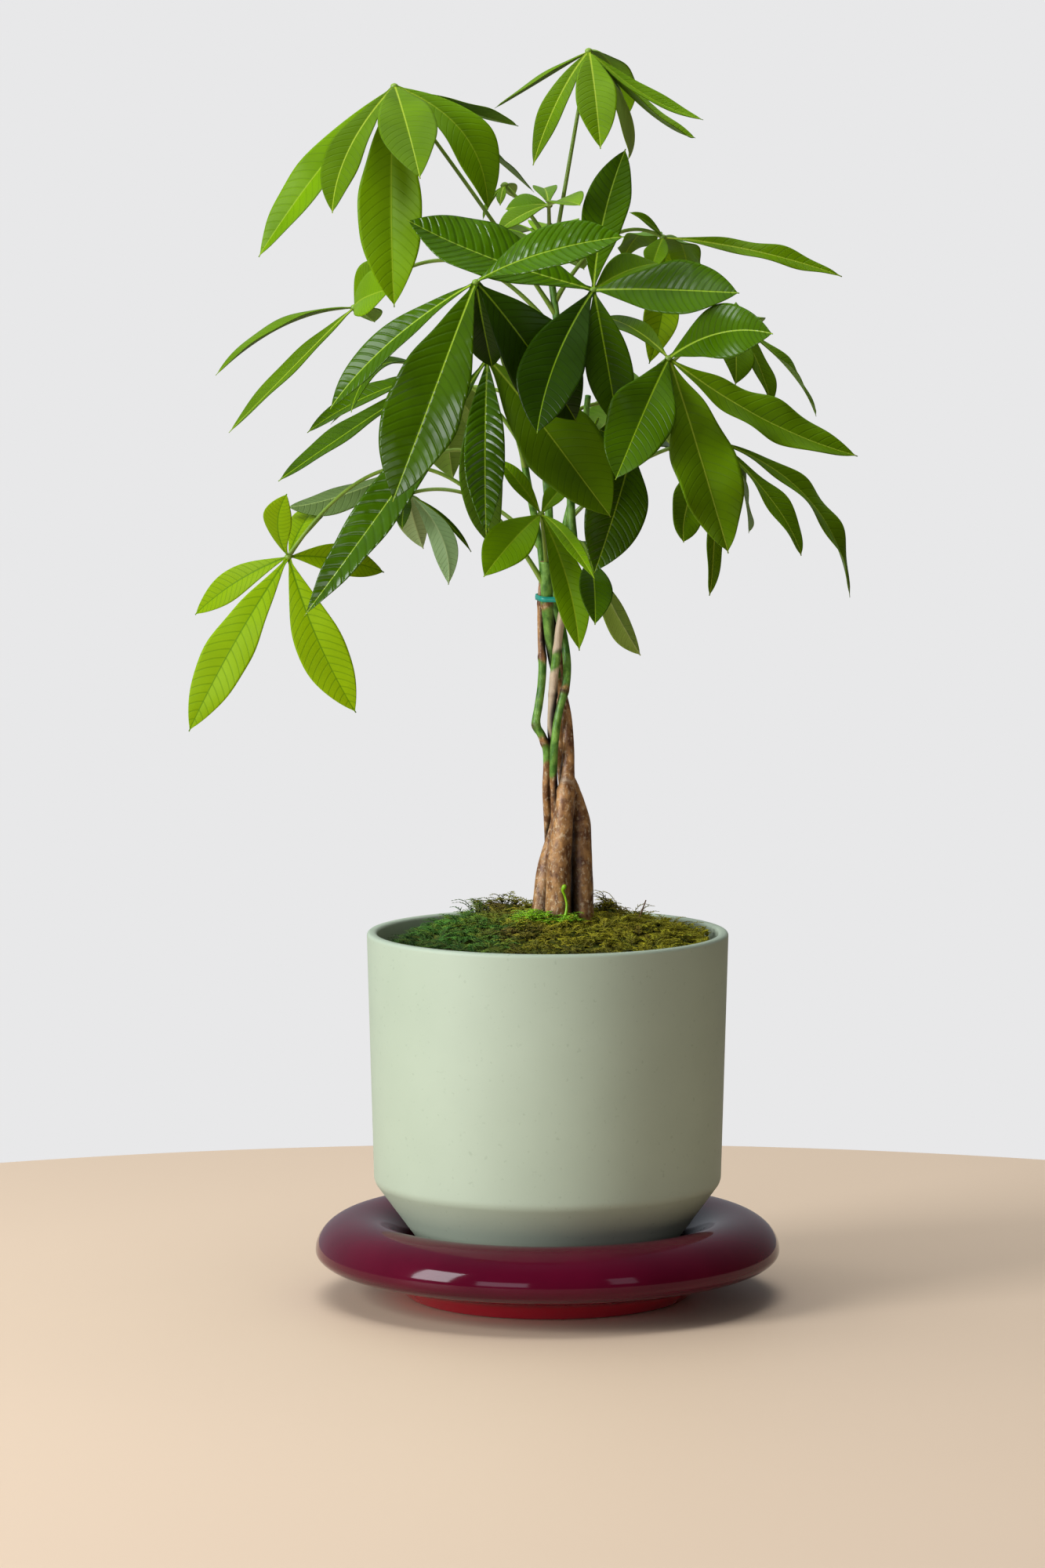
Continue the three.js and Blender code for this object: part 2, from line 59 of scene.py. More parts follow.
# ---- Front view, camera and light ----


@dataclass(frozen=True)
class FrontView:
    """The view that the plant's places are read in, in view units and millimetres."""

    width: int = 1333
    height: int = 2000
    focal: float = 7751.0
    eye: Point = (-12.5, -3000.0, 574.0)
    aim: Point = (-12.5, 0.0, 256.6)

    def seen(self, across: float, down: float, forward: float) -> np.ndarray:
        """The place in mm of a point of the view.

        Args:
            across: View units from the left edge.
            down: View units from the top edge.
            forward: Millimetres that the point stands towards the viewer from the pot's axis.

        Returns:
            The point [x, y, z] in millimetres.
        """
        eye = np.array(self.eye)
        ahead = unit(np.array(self.aim) - eye)
        right = np.array([1.0, 0.0, 0.0])
        upward = np.cross(right, ahead)
        ray = (
            ahead * self.focal
            + right * (across - self.width / 2)
            + upward * (self.height / 2 - down)
        )
        return eye + ray * ((-forward - eye[1]) / ray[1])


VIEW = FrontView()


def unit(vector: np.ndarray) -> np.ndarray:
    """The vector, scaled to length 1."""
    return vector / np.linalg.norm(vector)


def smooth(value: np.ndarray | float, low: float, high: float) -> np.ndarray | float:
    """A soft step from 0 at low to 1 at high."""
    share = np.clip((value - low) / (high - low), 0.0, 1.0)
    return share * share * (3 - 2 * share)


@dataclass
class Studio:
    """Camera at the photograph's angle, soft boxes, and a plain pale floor and backdrop."""

    floor_radius: float = 760.0
    floor_middle: float = -300.0
    floor_thickness: float = 18.0
    floor_edge: float = 3.0
    floor_sides: int = 160
    floor_gap: float = 0.05
    backdrop: str = "#E8E8E9"
    ambient_bright: str = "#C6D0DC"
    ambient_dim: str = "#5E4E3A"
    ambient: float = 0.32
    mirrored: float = 0.75
    lean_limits: Point = (-1.2, 1.2)
    mirror_limits: Point = (-0.6, 0.9)
    key_size: Point = (800.0, 1300.0)
    key_place: Point = (-1750.0, -1050.0, 950.0)
    key_watts: float = 50.0
    fill_size: Point = (1000.0, 600.0)
    fill_place: Point = (-850.0, -2100.0, 520.0)
    fill_watts: float = 7.0
    side_size: Point = (500.0, 800.0)
    side_place: Point = (1300.0, -1700.0, 800.0)
    side_watts: float = 2.0
    top_size: Point = (1500.0, 1500.0)
    top_place: Point = (-200.0, 200.0, 1900.0)
    top_watts: float = 34.0
    target: Point = (0.0, 0.0, 250.0)
    cool_white: str = "#F6F9FF"
    soft_violet: str = "#F0ECFF"

    def build(self) -> None:
        """Adds the camera, the lights, the backdrop and the floor."""
        self.add_camera()
        cool, violet = self.cool_white, self.soft_violet
        self.add_softbox("key_light", self.key_size, self.key_place, self.key_watts, cool)
        self.add_softbox("fill_light", self.fill_size, self.fill_place, self.fill_watts, violet)
        self.add_softbox("side_light", self.side_size, self.side_place, self.side_watts, violet)
        self.add_softbox(
            "top_light", self.top_size, self.top_place, self.top_watts, cool, mirrored=False
        )
        self.add_backdrop()
        self.add_floor()

    def add_camera(self) -> None:
        """Sets the camera where the front view is seen from."""
        data = bpy.data.cameras.new("camera")
        data.sensor_width = 36.0
        data.lens = data.sensor_width * VIEW.focal / VIEW.height
        data.clip_end = 20.0
        camera = bpy.data.objects.new("camera", data)
        bpy.context.scene.collection.objects.link(camera)
        self.point_at(camera, VIEW.eye, VIEW.aim)
        bpy.context.scene.camera = camera

    def add_softbox(
        self, name: str, size: Point, place: Point, watts: float, colour: str,
        mirrored: bool = True,
    ) -> None:
        """Adds one rectangular area light that faces the plant.

        Args:
            name: The light's name.
            size: Its width and height in mm.
            place: Where its middle is, in mm.
            watts: Its power.
            colour: Its colour as sRGB hex.
            mirrored: False if glossy surfaces don't mirror it.
        """
        data = bpy.data.lights.new(name, "AREA")
        data.shape = "RECTANGLE"
        data.size, data.size_y = (side * MM for side in size)
        data.energy = watts
        data.color = linear(colour)[:3]
        light = bpy.data.objects.new(name, data)
        light.visible_glossy = mirrored
        bpy.context.scene.collection.objects.link(light)
        self.point_at(light, place, self.target)

    def point_at(self, thing: bpy.types.Object, place: Point, target: Point) -> None:
        """Puts a camera or a light at a place and turns its -Z axis to a target.

        Args:
            thing: The camera or light.
            place: Where it stands, in mm.
            target: What it faces, in mm.
        """
        start, end = Vector(place) * MM, Vector(target) * MM
        thing.location = start
        thing.rotation_euler = (end - start).to_track_quat("-Z", "Y").to_euler()

    def add_backdrop(self) -> None:
        """Makes the world a pale wall to look at, and a dimmer room, darker to the right, as light."""
        world = bpy.data.worlds.new("studio")
        world.use_nodes = True
        tree = world.node_tree
        tree.nodes.clear()
        wall = add_node(
            tree, "ShaderNodeBackground", {"Color": linear(self.backdrop), "Strength": 1.0}
        )
        way = add_node(
            tree, "ShaderNodeSeparateXYZ",
            {"Vector": add_node(tree, "ShaderNodeTexCoord").outputs["Generated"]},
        )
        lean = add_node(
            tree, "ShaderNodeMath", {0: way.outputs["Z"], 1: way.outputs["X"]},
            operation="SUBTRACT",
        )
        bright = add_node(
            tree, "ShaderNodeMapRange",
            {"Value": lean.outputs["Value"], "From Min": self.lean_limits[0],
             "From Max": self.lean_limits[1]},
        )
        colour = add_node(
            tree, "ShaderNodeMix",
            {0: bright.outputs["Result"], 6: linear(self.ambient_dim),
             7: linear(self.ambient_bright)},
            data_type="RGBA",
        )
        # What glossy surfaces mirror is a room that grows brighter towards the back.
        path = add_node(tree, "ShaderNodeLightPath")
        behind = add_node(
            tree, "ShaderNodeMapRange",
            {"Value": way.outputs["Y"], "From Min": self.mirror_limits[0],
             "From Max": self.mirror_limits[1], "To Min": 0.0, "To Max": self.mirrored},
        )
        strength = add_node(
            tree, "ShaderNodeMix",
            {0: path.outputs["Is Glossy Ray"], 2: self.ambient, 3: behind.outputs["Result"]},
        )
        room = add_node(
            tree, "ShaderNodeBackground",
            {"Color": colour.outputs[2], "Strength": strength.outputs[0]},
        )
        # Only the camera sees the wall itself.
        seen = add_node(
            tree, "ShaderNodeMixShader",
            {0: path.outputs["Is Camera Ray"], 1: room.outputs["Background"],
             2: wall.outputs["Background"]},
        )
        add_node(tree, "ShaderNodeOutputWorld", {"Surface": seen.outputs["Shader"]})
        bpy.context.scene.world = world

    def add_floor(self) -> None:
        """Adds the plain round floor, whose upper face is a hair under z 0."""
        mesh = Draft()
        outline = [
            (0.0, -self.floor_thickness),
            (self.floor_radius, -self.floor_thickness),
            (self.floor_radius, -self.floor_edge),
            (self.floor_radius - self.floor_edge, 0.0),
            (0.0, 0.0),
        ]
        mesh.turn([(r, z - self.floor_gap) for r, z in outline], self.floor_sides)
        mesh.points[0] = mesh.points[0] + np.array([0.0, self.floor_middle, 0.0])
        mesh.piece("floor", [PaleFloor().build()], shade_smooth=False)


# ---- Nodes and finishes ----


def linear(colour: str) -> tuple[float, float, float, float]:
    """Turns an sRGB hex colour to linear.

    Args:
        colour: The colour, such as #3A5A12.

    Returns:
        Its linear red, green, blue and alpha.
    """
    channels = [int(colour[i : i + 2], 16) / 255 for i in (1, 3, 5)]
    red, green, blue = (
        c / 12.92 if c <= 0.04045 else ((c + 0.055) / 1.055) ** 2.4 for c in channels
    )
    return red, green, blue, 1.0


def per_mm(size: float) -> float:
    """The scale of a pattern in metres whose parts are `size` mm apart."""
    return 1 / (size * MM)


def add_node(
    tree: bpy.types.NodeTree, kind: str, inputs: dict | None = None, **settings: object
) -> bpy.types.Node:
    """Adds a node with its settings, values and links.

    Args:
        tree: The tree that the node goes in.
        kind: The node's type name.
        inputs: A value or an output socket for each input, by name or number.
        **settings: Attributes of the node, such as operation.

    Returns:
        The new node.
    """
    node = tree.nodes.new(kind)
    for key, value in settings.items():
        setattr(node, key, value)
    for key, value in (inputs or {}).items():
        if isinstance(value, bpy.types.NodeSocket):
            tree.links.new(value, node.inputs[key])
        else:
            node.inputs[key].default_value = value
    return node


@dataclass(frozen=True)
class Finish:
    """What every finish has: its name, and how its surface turns light back."""

    name: str
    roughness: float
    ior: float = 1.5
    specular: float = 0.5

    def start(self) -> tuple[bpy.types.Material, bpy.types.NodeTree, bpy.types.Node]:
        """Starts a material with this finish's own sheen.

        Returns:
            The material, its node tree and its Principled shader node.
        """
        material = bpy.data.materials.new(self.name)
        material.use_nodes = True
        tree = material.node_tree
        shader = tree.nodes["Principled BSDF"]
        shader.inputs["Roughness"].default_value = self.roughness
        shader.inputs["IOR"].default_value = self.ior
        shader.inputs["Specular IOR Level"].default_value = self.specular
        return material, tree, shader

    def clouded(
        self, tree: bpy.types.NodeTree, size: float, detail: float, low: str, high: str
    ) -> bpy.types.NodeSocket:
        """Mixes two colours in soft clouds that lie still on the piece.

        Args:
            tree: The material's node tree.
            size: How far apart the clouds are, in mm.
            detail: How many finer layers of cloud lie over the first.
            low: The colour where the clouds are thin, as sRGB hex.
            high: The colour where they are thick, as sRGB hex.

        Returns:
            The output socket of the mixed colour.
        """
        place = add_node(tree, "ShaderNodeTexCoord").outputs["Object"]
        clouds = add_node(
            tree, "ShaderNodeTexNoise",
            {"Vector": place, "Scale": per_mm(size), "Detail": detail},
        )
        return add_node(
            tree, "ShaderNodeMix",
            {0: clouds.outputs["Fac"], 6: linear(low), 7: linear(high)}, data_type="RGBA",
        ).outputs[2]


@dataclass(frozen=True)
class PaleFloor(Finish):
    """Pale painted board, kept plain: its sheen only softens the saucer's shadow."""

    name: str = "pale_floor"
    roughness: float = 0.55
    colour: str = "#D6BEA2"

    def build(self) -> bpy.types.Material:
        """Makes the material.

        Returns:
            The material.
        """
        material, _, shader = self.start()
        shader.inputs["Base Color"].default_value = linear(self.colour)
        return material


@dataclass(frozen=True)
class SaucerGlaze(Finish):
    """Glossy burgundy glaze on thrown earthenware: deep colour under a clear glassy skin.

    The glaze is as smooth as glass, so it mirrors the soft boxes. It pools darker and thinner in
    soft patches. The foot, below the rim, is painted a brighter red, as light bounced up from
    the floor would make it.
    """

    name: str = "burgundy_glaze"
    roughness: float = 0.09
    ior: float = 1.52
    specular: float = 0.2
    deep: str = "#43071A"
    thin: str = "#5A0C24"
    # Painted bounce light: the brighter red of the foot.
    foot: str = "#B01E30"
    foot_height: Point = (7.0, 11.0)
    pooling: float = 30.0
    ripple: float = 14.0
    ripple_strength: float = 0.12
    ripple_depth: float = 0.3

    def build(self) -> bpy.types.Material:
        """Makes the material.

        Returns:
            The material.
        """
        material, tree, shader = self.start()
        place = add_node(tree, "ShaderNodeTexCoord").outputs["Object"]
        pooled = self.clouded(tree, self.pooling, 3.0, self.deep, self.thin)
        place_parts = add_node(tree, "ShaderNodeSeparateXYZ", {"Vector": place})
        # Painted light: the glaze turns a brighter red towards the foot, as if lit from the floor.
        low, high = (height * MM for height in self.foot_height)
        painted_foot_light = add_node(
            tree, "ShaderNodeMapRange",
            {"Value": place_parts.outputs["Z"], "From Min": low, "From Max": high,
             "To Min": 1.0, "To Max": 0.0},
        )
        colour = add_node(
            tree, "ShaderNodeMix",
            {0: painted_foot_light.outputs["Result"], 6: pooled, 7: linear(self.foot)},
            data_type="RGBA",
        )
        tree.links.new(colour.outputs[2], shader.inputs["Base Color"])
        ripple = add_node(
            tree, "ShaderNodeTexNoise", {"Vector": place, "Scale": per_mm(self.ripple), "Detail": 2.0}
        )
        bump = add_node(
            tree, "ShaderNodeBump",
            {"Height": ripple.outputs["Fac"], "Strength": self.ripple_strength,
             "Distance": self.ripple_depth * MM},
        )
        tree.links.new(bump.outputs["Normal"], shader.inputs["Normal"])
        return material


@dataclass(frozen=True)
class PotGlaze(Finish):
    """Matt sage glaze on cast stoneware: a dry, even skin with faint clouds and fine pits."""

    name: str = "sage_glaze"
    roughness: float = 0.55
    body: str = "#A8B59D"
    cloud: str = "#B0BDA5"
    speck: str = "#8E9A80"
    cloud_size: float = 34.0
    speck_size: float = 2.6
    speck_start: float = 0.66
    speck_full: float = 0.74
    speck_share: float = 0.35
    grain: float = 0.9
    grain_strength: float = 0.25
    grain_depth: float = 0.08

    def build(self) -> bpy.types.Material:
        """Makes the material.

        Returns:
            The material.
        """
        material, tree, shader = self.start()
        place = add_node(tree, "ShaderNodeTexCoord").outputs["Object"]
        glaze = self.clouded(tree, self.cloud_size, 4.0, self.body, self.cloud)
        specks = add_node(
            tree, "ShaderNodeTexNoise",
            {"Vector": place, "Scale": per_mm(self.speck_size), "Detail": 2.0},
        )
        dark = add_node(
            tree, "ShaderNodeMapRange",
            {"Value": specks.outputs["Fac"], "From Min": self.speck_start,
             "From Max": self.speck_full, "To Max": self.speck_share},
        )
        colour = add_node(
            tree, "ShaderNodeMix",
            {0: dark.outputs["Result"], 6: glaze, 7: linear(self.speck)},
            data_type="RGBA",
        )
        tree.links.new(colour.outputs[2], shader.inputs["Base Color"])
        grain = add_node(
            tree, "ShaderNodeTexNoise",
            {"Vector": place, "Scale": per_mm(self.grain), "Detail": 3.0},
        )
        bump = add_node(
            tree, "ShaderNodeBump",
            {"Height": grain.outputs["Fac"], "Strength": self.grain_strength,
             "Distance": self.grain_depth * MM},
        )
        tree.links.new(bump.outputs["Normal"], shader.inputs["Normal"])
        return material


@dataclass(frozen=True)
class PottingSoil(Finish):
    """Damp peat soil: matt crumbs, near black where wet and brown where dry."""

    name: str = "potting_soil"
    roughness: float = 0.9
    wet: str = "#1B120C"
    dry: str = "#4A3625"
    crumb: float = 3.0
    crumb_strength: float = 0.9
    crumb_depth: float = 1.5

    def build(self) -> bpy.types.Material:
        """Makes the material.

        Returns:
            The material.
        """
        material, tree, shader = self.start()
        place = add_node(tree, "ShaderNodeTexCoord").outputs["Object"]
        crumbs = add_node(
            tree, "ShaderNodeTexVoronoi", {"Vector": place, "Scale": per_mm(self.crumb)}
        )
        colour = self.clouded(tree, 2 * self.crumb, 6.0, self.wet, self.dry)
        tree.links.new(colour, shader.inputs["Base Color"])
        bump = add_node(
            tree, "ShaderNodeBump",
            {"Height": crumbs.outputs["Distance"], "Strength": self.crumb_strength,
             "Distance": self.crumb_depth * MM},
        )
        tree.links.new(bump.outputs["Normal"], shader.inputs["Normal"])
        return material


@dataclass(frozen=True)
class MossFibre(Finish):
    """Living moss: soft matt fronds, from lush green to olive, and brown where they are old.

    The mesh carries how olive and how old each frond is, and how far painted shade darkens each
    point towards the near-black root colour.
    """

    name: str = "moss_fibre"
    roughness: float = 0.7
    # Painted shade: the near-black that the moss darkens to in its depths.
    root: str = "#101402"
    olive: str = "#C6BC10"
    lush: str = "#549A28"
    old: str = "#7E6020"

    def build(self) -> bpy.types.Material:
        """Makes the material.

        Returns:
            The material.
        """
        material, tree, shader = self.start()
        mark = add_node(tree, "ShaderNodeAttribute", attribute_name="frond")
        parts = add_node(
            tree, "ShaderNodeSeparateXYZ", {"Vector": mark.outputs["Vector"]}
        )
        green = add_node(
            tree, "ShaderNodeMix",
            {0: parts.outputs["X"], 6: linear(self.lush), 7: linear(self.olive)},
            data_type="RGBA",
        )
        aged = add_node(
            tree, "ShaderNodeMix",
            {0: parts.outputs["Z"], 6: green.outputs[2], 7: linear(self.old)},
            data_type="RGBA",
        )
        # Painted shade: the mark's Y mixes the colour down to the near-black root colour.
        colour = add_node(
            tree, "ShaderNodeMix",
            {0: parts.outputs["Y"], 6: linear(self.root), 7: aged.outputs[2]},
            data_type="RGBA",
        )
        tree.links.new(colour.outputs[2], shader.inputs["Base Color"])
        return material


@dataclass(frozen=True)
class Sprout(Finish):
    """Tender new skin, on the seedling and the fresh moss: a bright, moist yellow green."""

    name: str = "seedling_skin"
    roughness: float = 0.4
    colour: str = "#A2D21A"
    shade: str = "#70AC0C"
    mottle: float = 2.0

    def build(self) -> bpy.types.Material:
        """Makes the material.

        Returns:
            The material.
        """
        material, tree, shader = self.start()
        colour = self.clouded(tree, self.mottle, 2.0, self.shade, self.colour)
        tree.links.new(colour, shader.inputs["Base Color"])
        return material


@dataclass(frozen=True)
class Bark(Finish):
    """Young bark: thin, dry and flecked brown low down, still green skin higher up.

    Pale corky flecks and dark specks lie on orange-brown patches. The mesh marks where each stem
    is green, where an old leaf left a scar, where the bark has dried pale, and how near another
    stem is, where shade is painted into the crease as a near-black colour. Each set of limits
    holds the noise where a patch starts, the noise where it is full, and how strong it is there.
    """

    name: str = "bark"
    roughness: float = 0.42
    ior: float = 1.45
    brown: str = "#6E4622"
    tan: str = "#B88850"
    cork: str = "#E0C8A0"
    dark: str = "#2E1A0A"
    dried: str = "#CDBB9C"
    green: str = "#3E6E16"
    fresh: str = "#7CAA42"
    scar: str = "#4A2414"
    # Painted shade: the near-black colour of the creases between stems.
    crease: str = "#140B05"
    mottle: float = 4.0
    fleck: float = 1.4
    speck_ratio: float = 1.3
    drawn_out: float = 0.7
    mottle_limits: Point = (0.38, 0.62, 1.0)
    fleck_limits: Point = (0.54, 0.66, 0.55)
    speck_limits: Point = (0.58, 0.72, 0.35)
    relief_strength: float = 0.7
    relief_depth: float = 0.35

    def build(self) -> bpy.types.Material:
        """Makes the material.

        Returns:
            The material.
        """
        material, tree, shader = self.start()
        place = add_node(tree, "ShaderNodeTexCoord").outputs["Object"]
        mark = add_node(tree, "ShaderNodeAttribute", attribute_name="bark")
        marks = add_node(tree, "ShaderNodeSeparateXYZ", {"Vector": mark.outputs["Vector"]})
        near = add_node(tree, "ShaderNodeAttribute", attribute_name="crease")
        drawn = add_node(
            tree, "ShaderNodeMapping", {"Vector": place, "Scale": (1.0, 1.0, self.drawn_out)}
        )
        masks = []
        for size, (low, high, most) in (
            (self.mottle, self.mottle_limits), (self.fleck, self.fleck_limits),
            (self.speck_ratio * self.fleck, self.speck_limits),
        ):
            noise = add_node(
                tree, "ShaderNodeTexNoise",
                {"Vector": drawn.outputs["Vector"], "Scale": per_mm(size), "Detail": 6.0},
            )
            masks.append(add_node(
                tree, "ShaderNodeMapRange",
                {"Value": noise.outputs["Fac"], "From Min": low, "From Max": high,
                 "To Max": most},
            ).outputs["Result"])
        skin = add_node(
            tree, "ShaderNodeMix",
            {0: masks[0], 6: linear(self.green), 7: linear(self.fresh)}, data_type="RGBA",
        ).outputs[2]
        colour = linear(self.brown)
        # The last of these mixes paints shade in, darkest where another stem lies close.
        for mask, tint in (
            (masks[0], linear(self.tan)), (masks[1], linear(self.cork)),
            (masks[2], linear(self.dark)), (marks.outputs["Z"], linear(self.dried)),
            (marks.outputs["X"], skin), (marks.outputs["Y"], linear(self.scar)),
            (near.outputs["Fac"], linear(self.crease)),
        ):
            colour = add_node(
                tree, "ShaderNodeMix", {0: mask, 6: colour, 7: tint}, data_type="RGBA"
            ).outputs[2]
        tree.links.new(colour, shader.inputs["Base Color"])
        relief = add_node(
            tree, "ShaderNodeMath", {0: masks[1], 1: masks[2]}, operation="SUBTRACT"
        )
        bump = add_node(
            tree, "ShaderNodeBump",
            {"Height": relief.outputs["Value"], "Strength": self.relief_strength,
             "Distance": self.relief_depth * MM},
        )
        tree.links.new(bump.outputs["Normal"], shader.inputs["Normal"])
        return material


@dataclass(frozen=True)
class CutWood(Finish):
    """Dry cut wood, on a pruned stem's end and the twig: pale and dark brown fibres."""

    name: str = "cut_wood"
    roughness: float = 0.85
    pith: str = "#4A3020"
    wood: str = "#9A7450"
    fibre: float = 1.0

    def build(self) -> bpy.types.Material:
        """Makes the material.

        Returns:
            The material.
        """
        material, tree, shader = self.start()
        colour = self.clouded(tree, self.fibre, 3.0, self.pith, self.wood)
        tree.links.new(colour, shader.inputs["Base Color"])
        return material


@dataclass(frozen=True)
class TiePlastic(Finish):
    """Extruded soft PVC tie: teal and faintly glossy, with fine darker flecks."""

    name: str = "teal_pvc"
    roughness: float = 0.35
    colour: str = "#1FA890"
    shade: str = "#178A78"
    fleck: float = 0.8

    def build(self) -> bpy.types.Material:
        """Makes the material.

        Returns:
            The material.
        """
        material, tree, shader = self.start()
        colour = self.clouded(tree, self.fleck, 1.0, self.shade, self.colour)
        tree.links.new(colour, shader.inputs["Base Color"])
        return material


@dataclass(frozen=True)
class LeafSkin(Finish):
    """A waxy leaf skin: a clear cuticle over green, quilted between sunken side veins.

    The cuticle is smooth, so the light breaks into a thin bright bar beside each sunken vein,
    and the panels between stay a full green. At every point the mesh carries the distance
    across from the midrib in mm, the share of the way along and the count of side veins
    passed. A second mark makes one leaflet lighter than another.
    """

    deep: str = "#2A4F04"
    light: str = "#3F6B06"
    rib: str = "#86A83A"
    vein: str = "#5A8420"
    pillow: float = 0.5
    rib_width: float = 0.65
    rib_taper: float = 1.4
    vein_share: float = 0.25
    cloud: float = 22.0
    groove: float = 0.42
    ripple: float = 3.0
    ripple_size: float = 9.0
    vein_core: float = 0.04
    vein_edge: float = 0.35
    tone_limits: Point = (0.5, 1.5)
    rib_limits: Point = (0.5, 1.1)

    def build(self) -> bpy.types.Material:
        """Makes the material.

        Returns:
            The material.
        """
        material, tree, shader = self.start()
        place = add_node(tree, "ShaderNodeTexCoord").outputs["Object"]
        ripple = add_node(
            tree, "ShaderNodeTexNoise",
            {"Vector": place, "Scale": per_mm(self.ripple_size), "Detail": 1.0},
        )
        blade = add_node(tree, "ShaderNodeAttribute", attribute_name="blade")
        parts = add_node(tree, "ShaderNodeSeparateXYZ", {"Vector": blade.outputs["Vector"]})
        shade = add_node(tree, "ShaderNodeAttribute", attribute_name="shade")
        clouds = add_node(
            tree, "ShaderNodeTexNoise",
            {"Vector": place, "Scale": per_mm(self.cloud), "Detail": 3.0},
        )
        tone = add_node(
            tree, "ShaderNodeMath",
            {0: clouds.outputs["Fac"], 1: shade.outputs["Fac"]}, operation="ADD",
        )
        level = add_node(
            tree, "ShaderNodeMapRange",
            {"Value": tone.outputs["Value"], "From Min": self.tone_limits[0],
             "From Max": self.tone_limits[1]},
        )
        # The crest is 0 on each side vein and 1 half way to the next.
        phase = add_node(
            tree, "ShaderNodeMath", {0: parts.outputs["Z"], 1: math.pi}, operation="MULTIPLY"
        )
        wave = add_node(tree, "ShaderNodeMath", {0: phase.outputs["Value"]}, operation="SINE")
        crest = add_node(tree, "ShaderNodeMath", {0: wave.outputs["Value"]}, operation="ABSOLUTE")
        vein = add_node(
            tree, "ShaderNodeMapRange",
            {"Value": crest.outputs["Value"], "From Min": self.vein_core,
             "From Max": self.vein_edge, "To Min": self.vein_share, "To Max": 0.0},
        )
        # The pale midrib narrows towards the tip.
        apart = add_node(tree, "ShaderNodeMath", {0: parts.outputs["X"]}, operation="ABSOLUTE")
        taper = add_node(
            tree, "ShaderNodeMath", {0: parts.outputs["Y"], 1: self.rib_taper, 2: 1.0},
            operation="MULTIPLY_ADD",
        )
        reach = add_node(
            tree, "ShaderNodeMath", {0: apart.outputs["Value"], 1: taper.outputs["Value"]},
            operation="MULTIPLY",
        )
        rib = add_node(
            tree, "ShaderNodeMapRange",
            {"Value": reach.outputs["Value"], "From Min": self.rib_limits[0] * self.rib_width,
             "From Max": self.rib_limits[1] * self.rib_width, "To Min": 1.0, "To Max": 0.0},
        )
        colour = linear(self.deep)
        for mask, tint in ((level, self.light), (vein, self.vein), (rib, self.rib)):
            colour = add_node(
                tree, "ShaderNodeMix",
                {0: mask.outputs["Result"], 6: colour, 7: linear(tint)}, data_type="RGBA",
            ).outputs[2]
        tree.links.new(colour, shader.inputs["Base Color"])
        # Between the veins the skin swells, and slow ripples run over it.
        quilt = add_node(
            tree, "ShaderNodeMapRange",
            {"Value": crest.outputs["Value"], "From Max": self.groove},
            interpolation_type="SMOOTHSTEP",
        )
        height = add_node(
            tree, "ShaderNodeMath",
            {0: ripple.outputs["Fac"], 1: self.ripple, 2: quilt.outputs["Result"]},
            operation="MULTIPLY_ADD",
        )
        bump = add_node(
            tree, "ShaderNodeBump",
            {"Height": height.outputs["Value"], "Strength": 1.0, "Distance": self.pillow * MM},
        )
        tree.links.new(bump.outputs["Normal"], shader.inputs["Normal"])
        return material


@dataclass(frozen=True)
class StalkSkin(Finish):
    """A leaf stalk's skin: smooth fresh green with soft yellow patches."""

    name: str = "stalk_skin"
    roughness: float = 0.4
    green: str = "#5F8A24"
    yellow: str = "#93A83C"
    mottle: float = 9.0

    def build(self) -> bpy.types.Material:
        """Makes the material.

        Returns:
            The material.
        """
        material, tree, shader = self.start()
        colour = self.clouded(tree, self.mottle, 3.0, self.green, self.yellow)
        tree.links.new(colour, shader.inputs["Base Color"])
        return material


# ---- Meshes ----


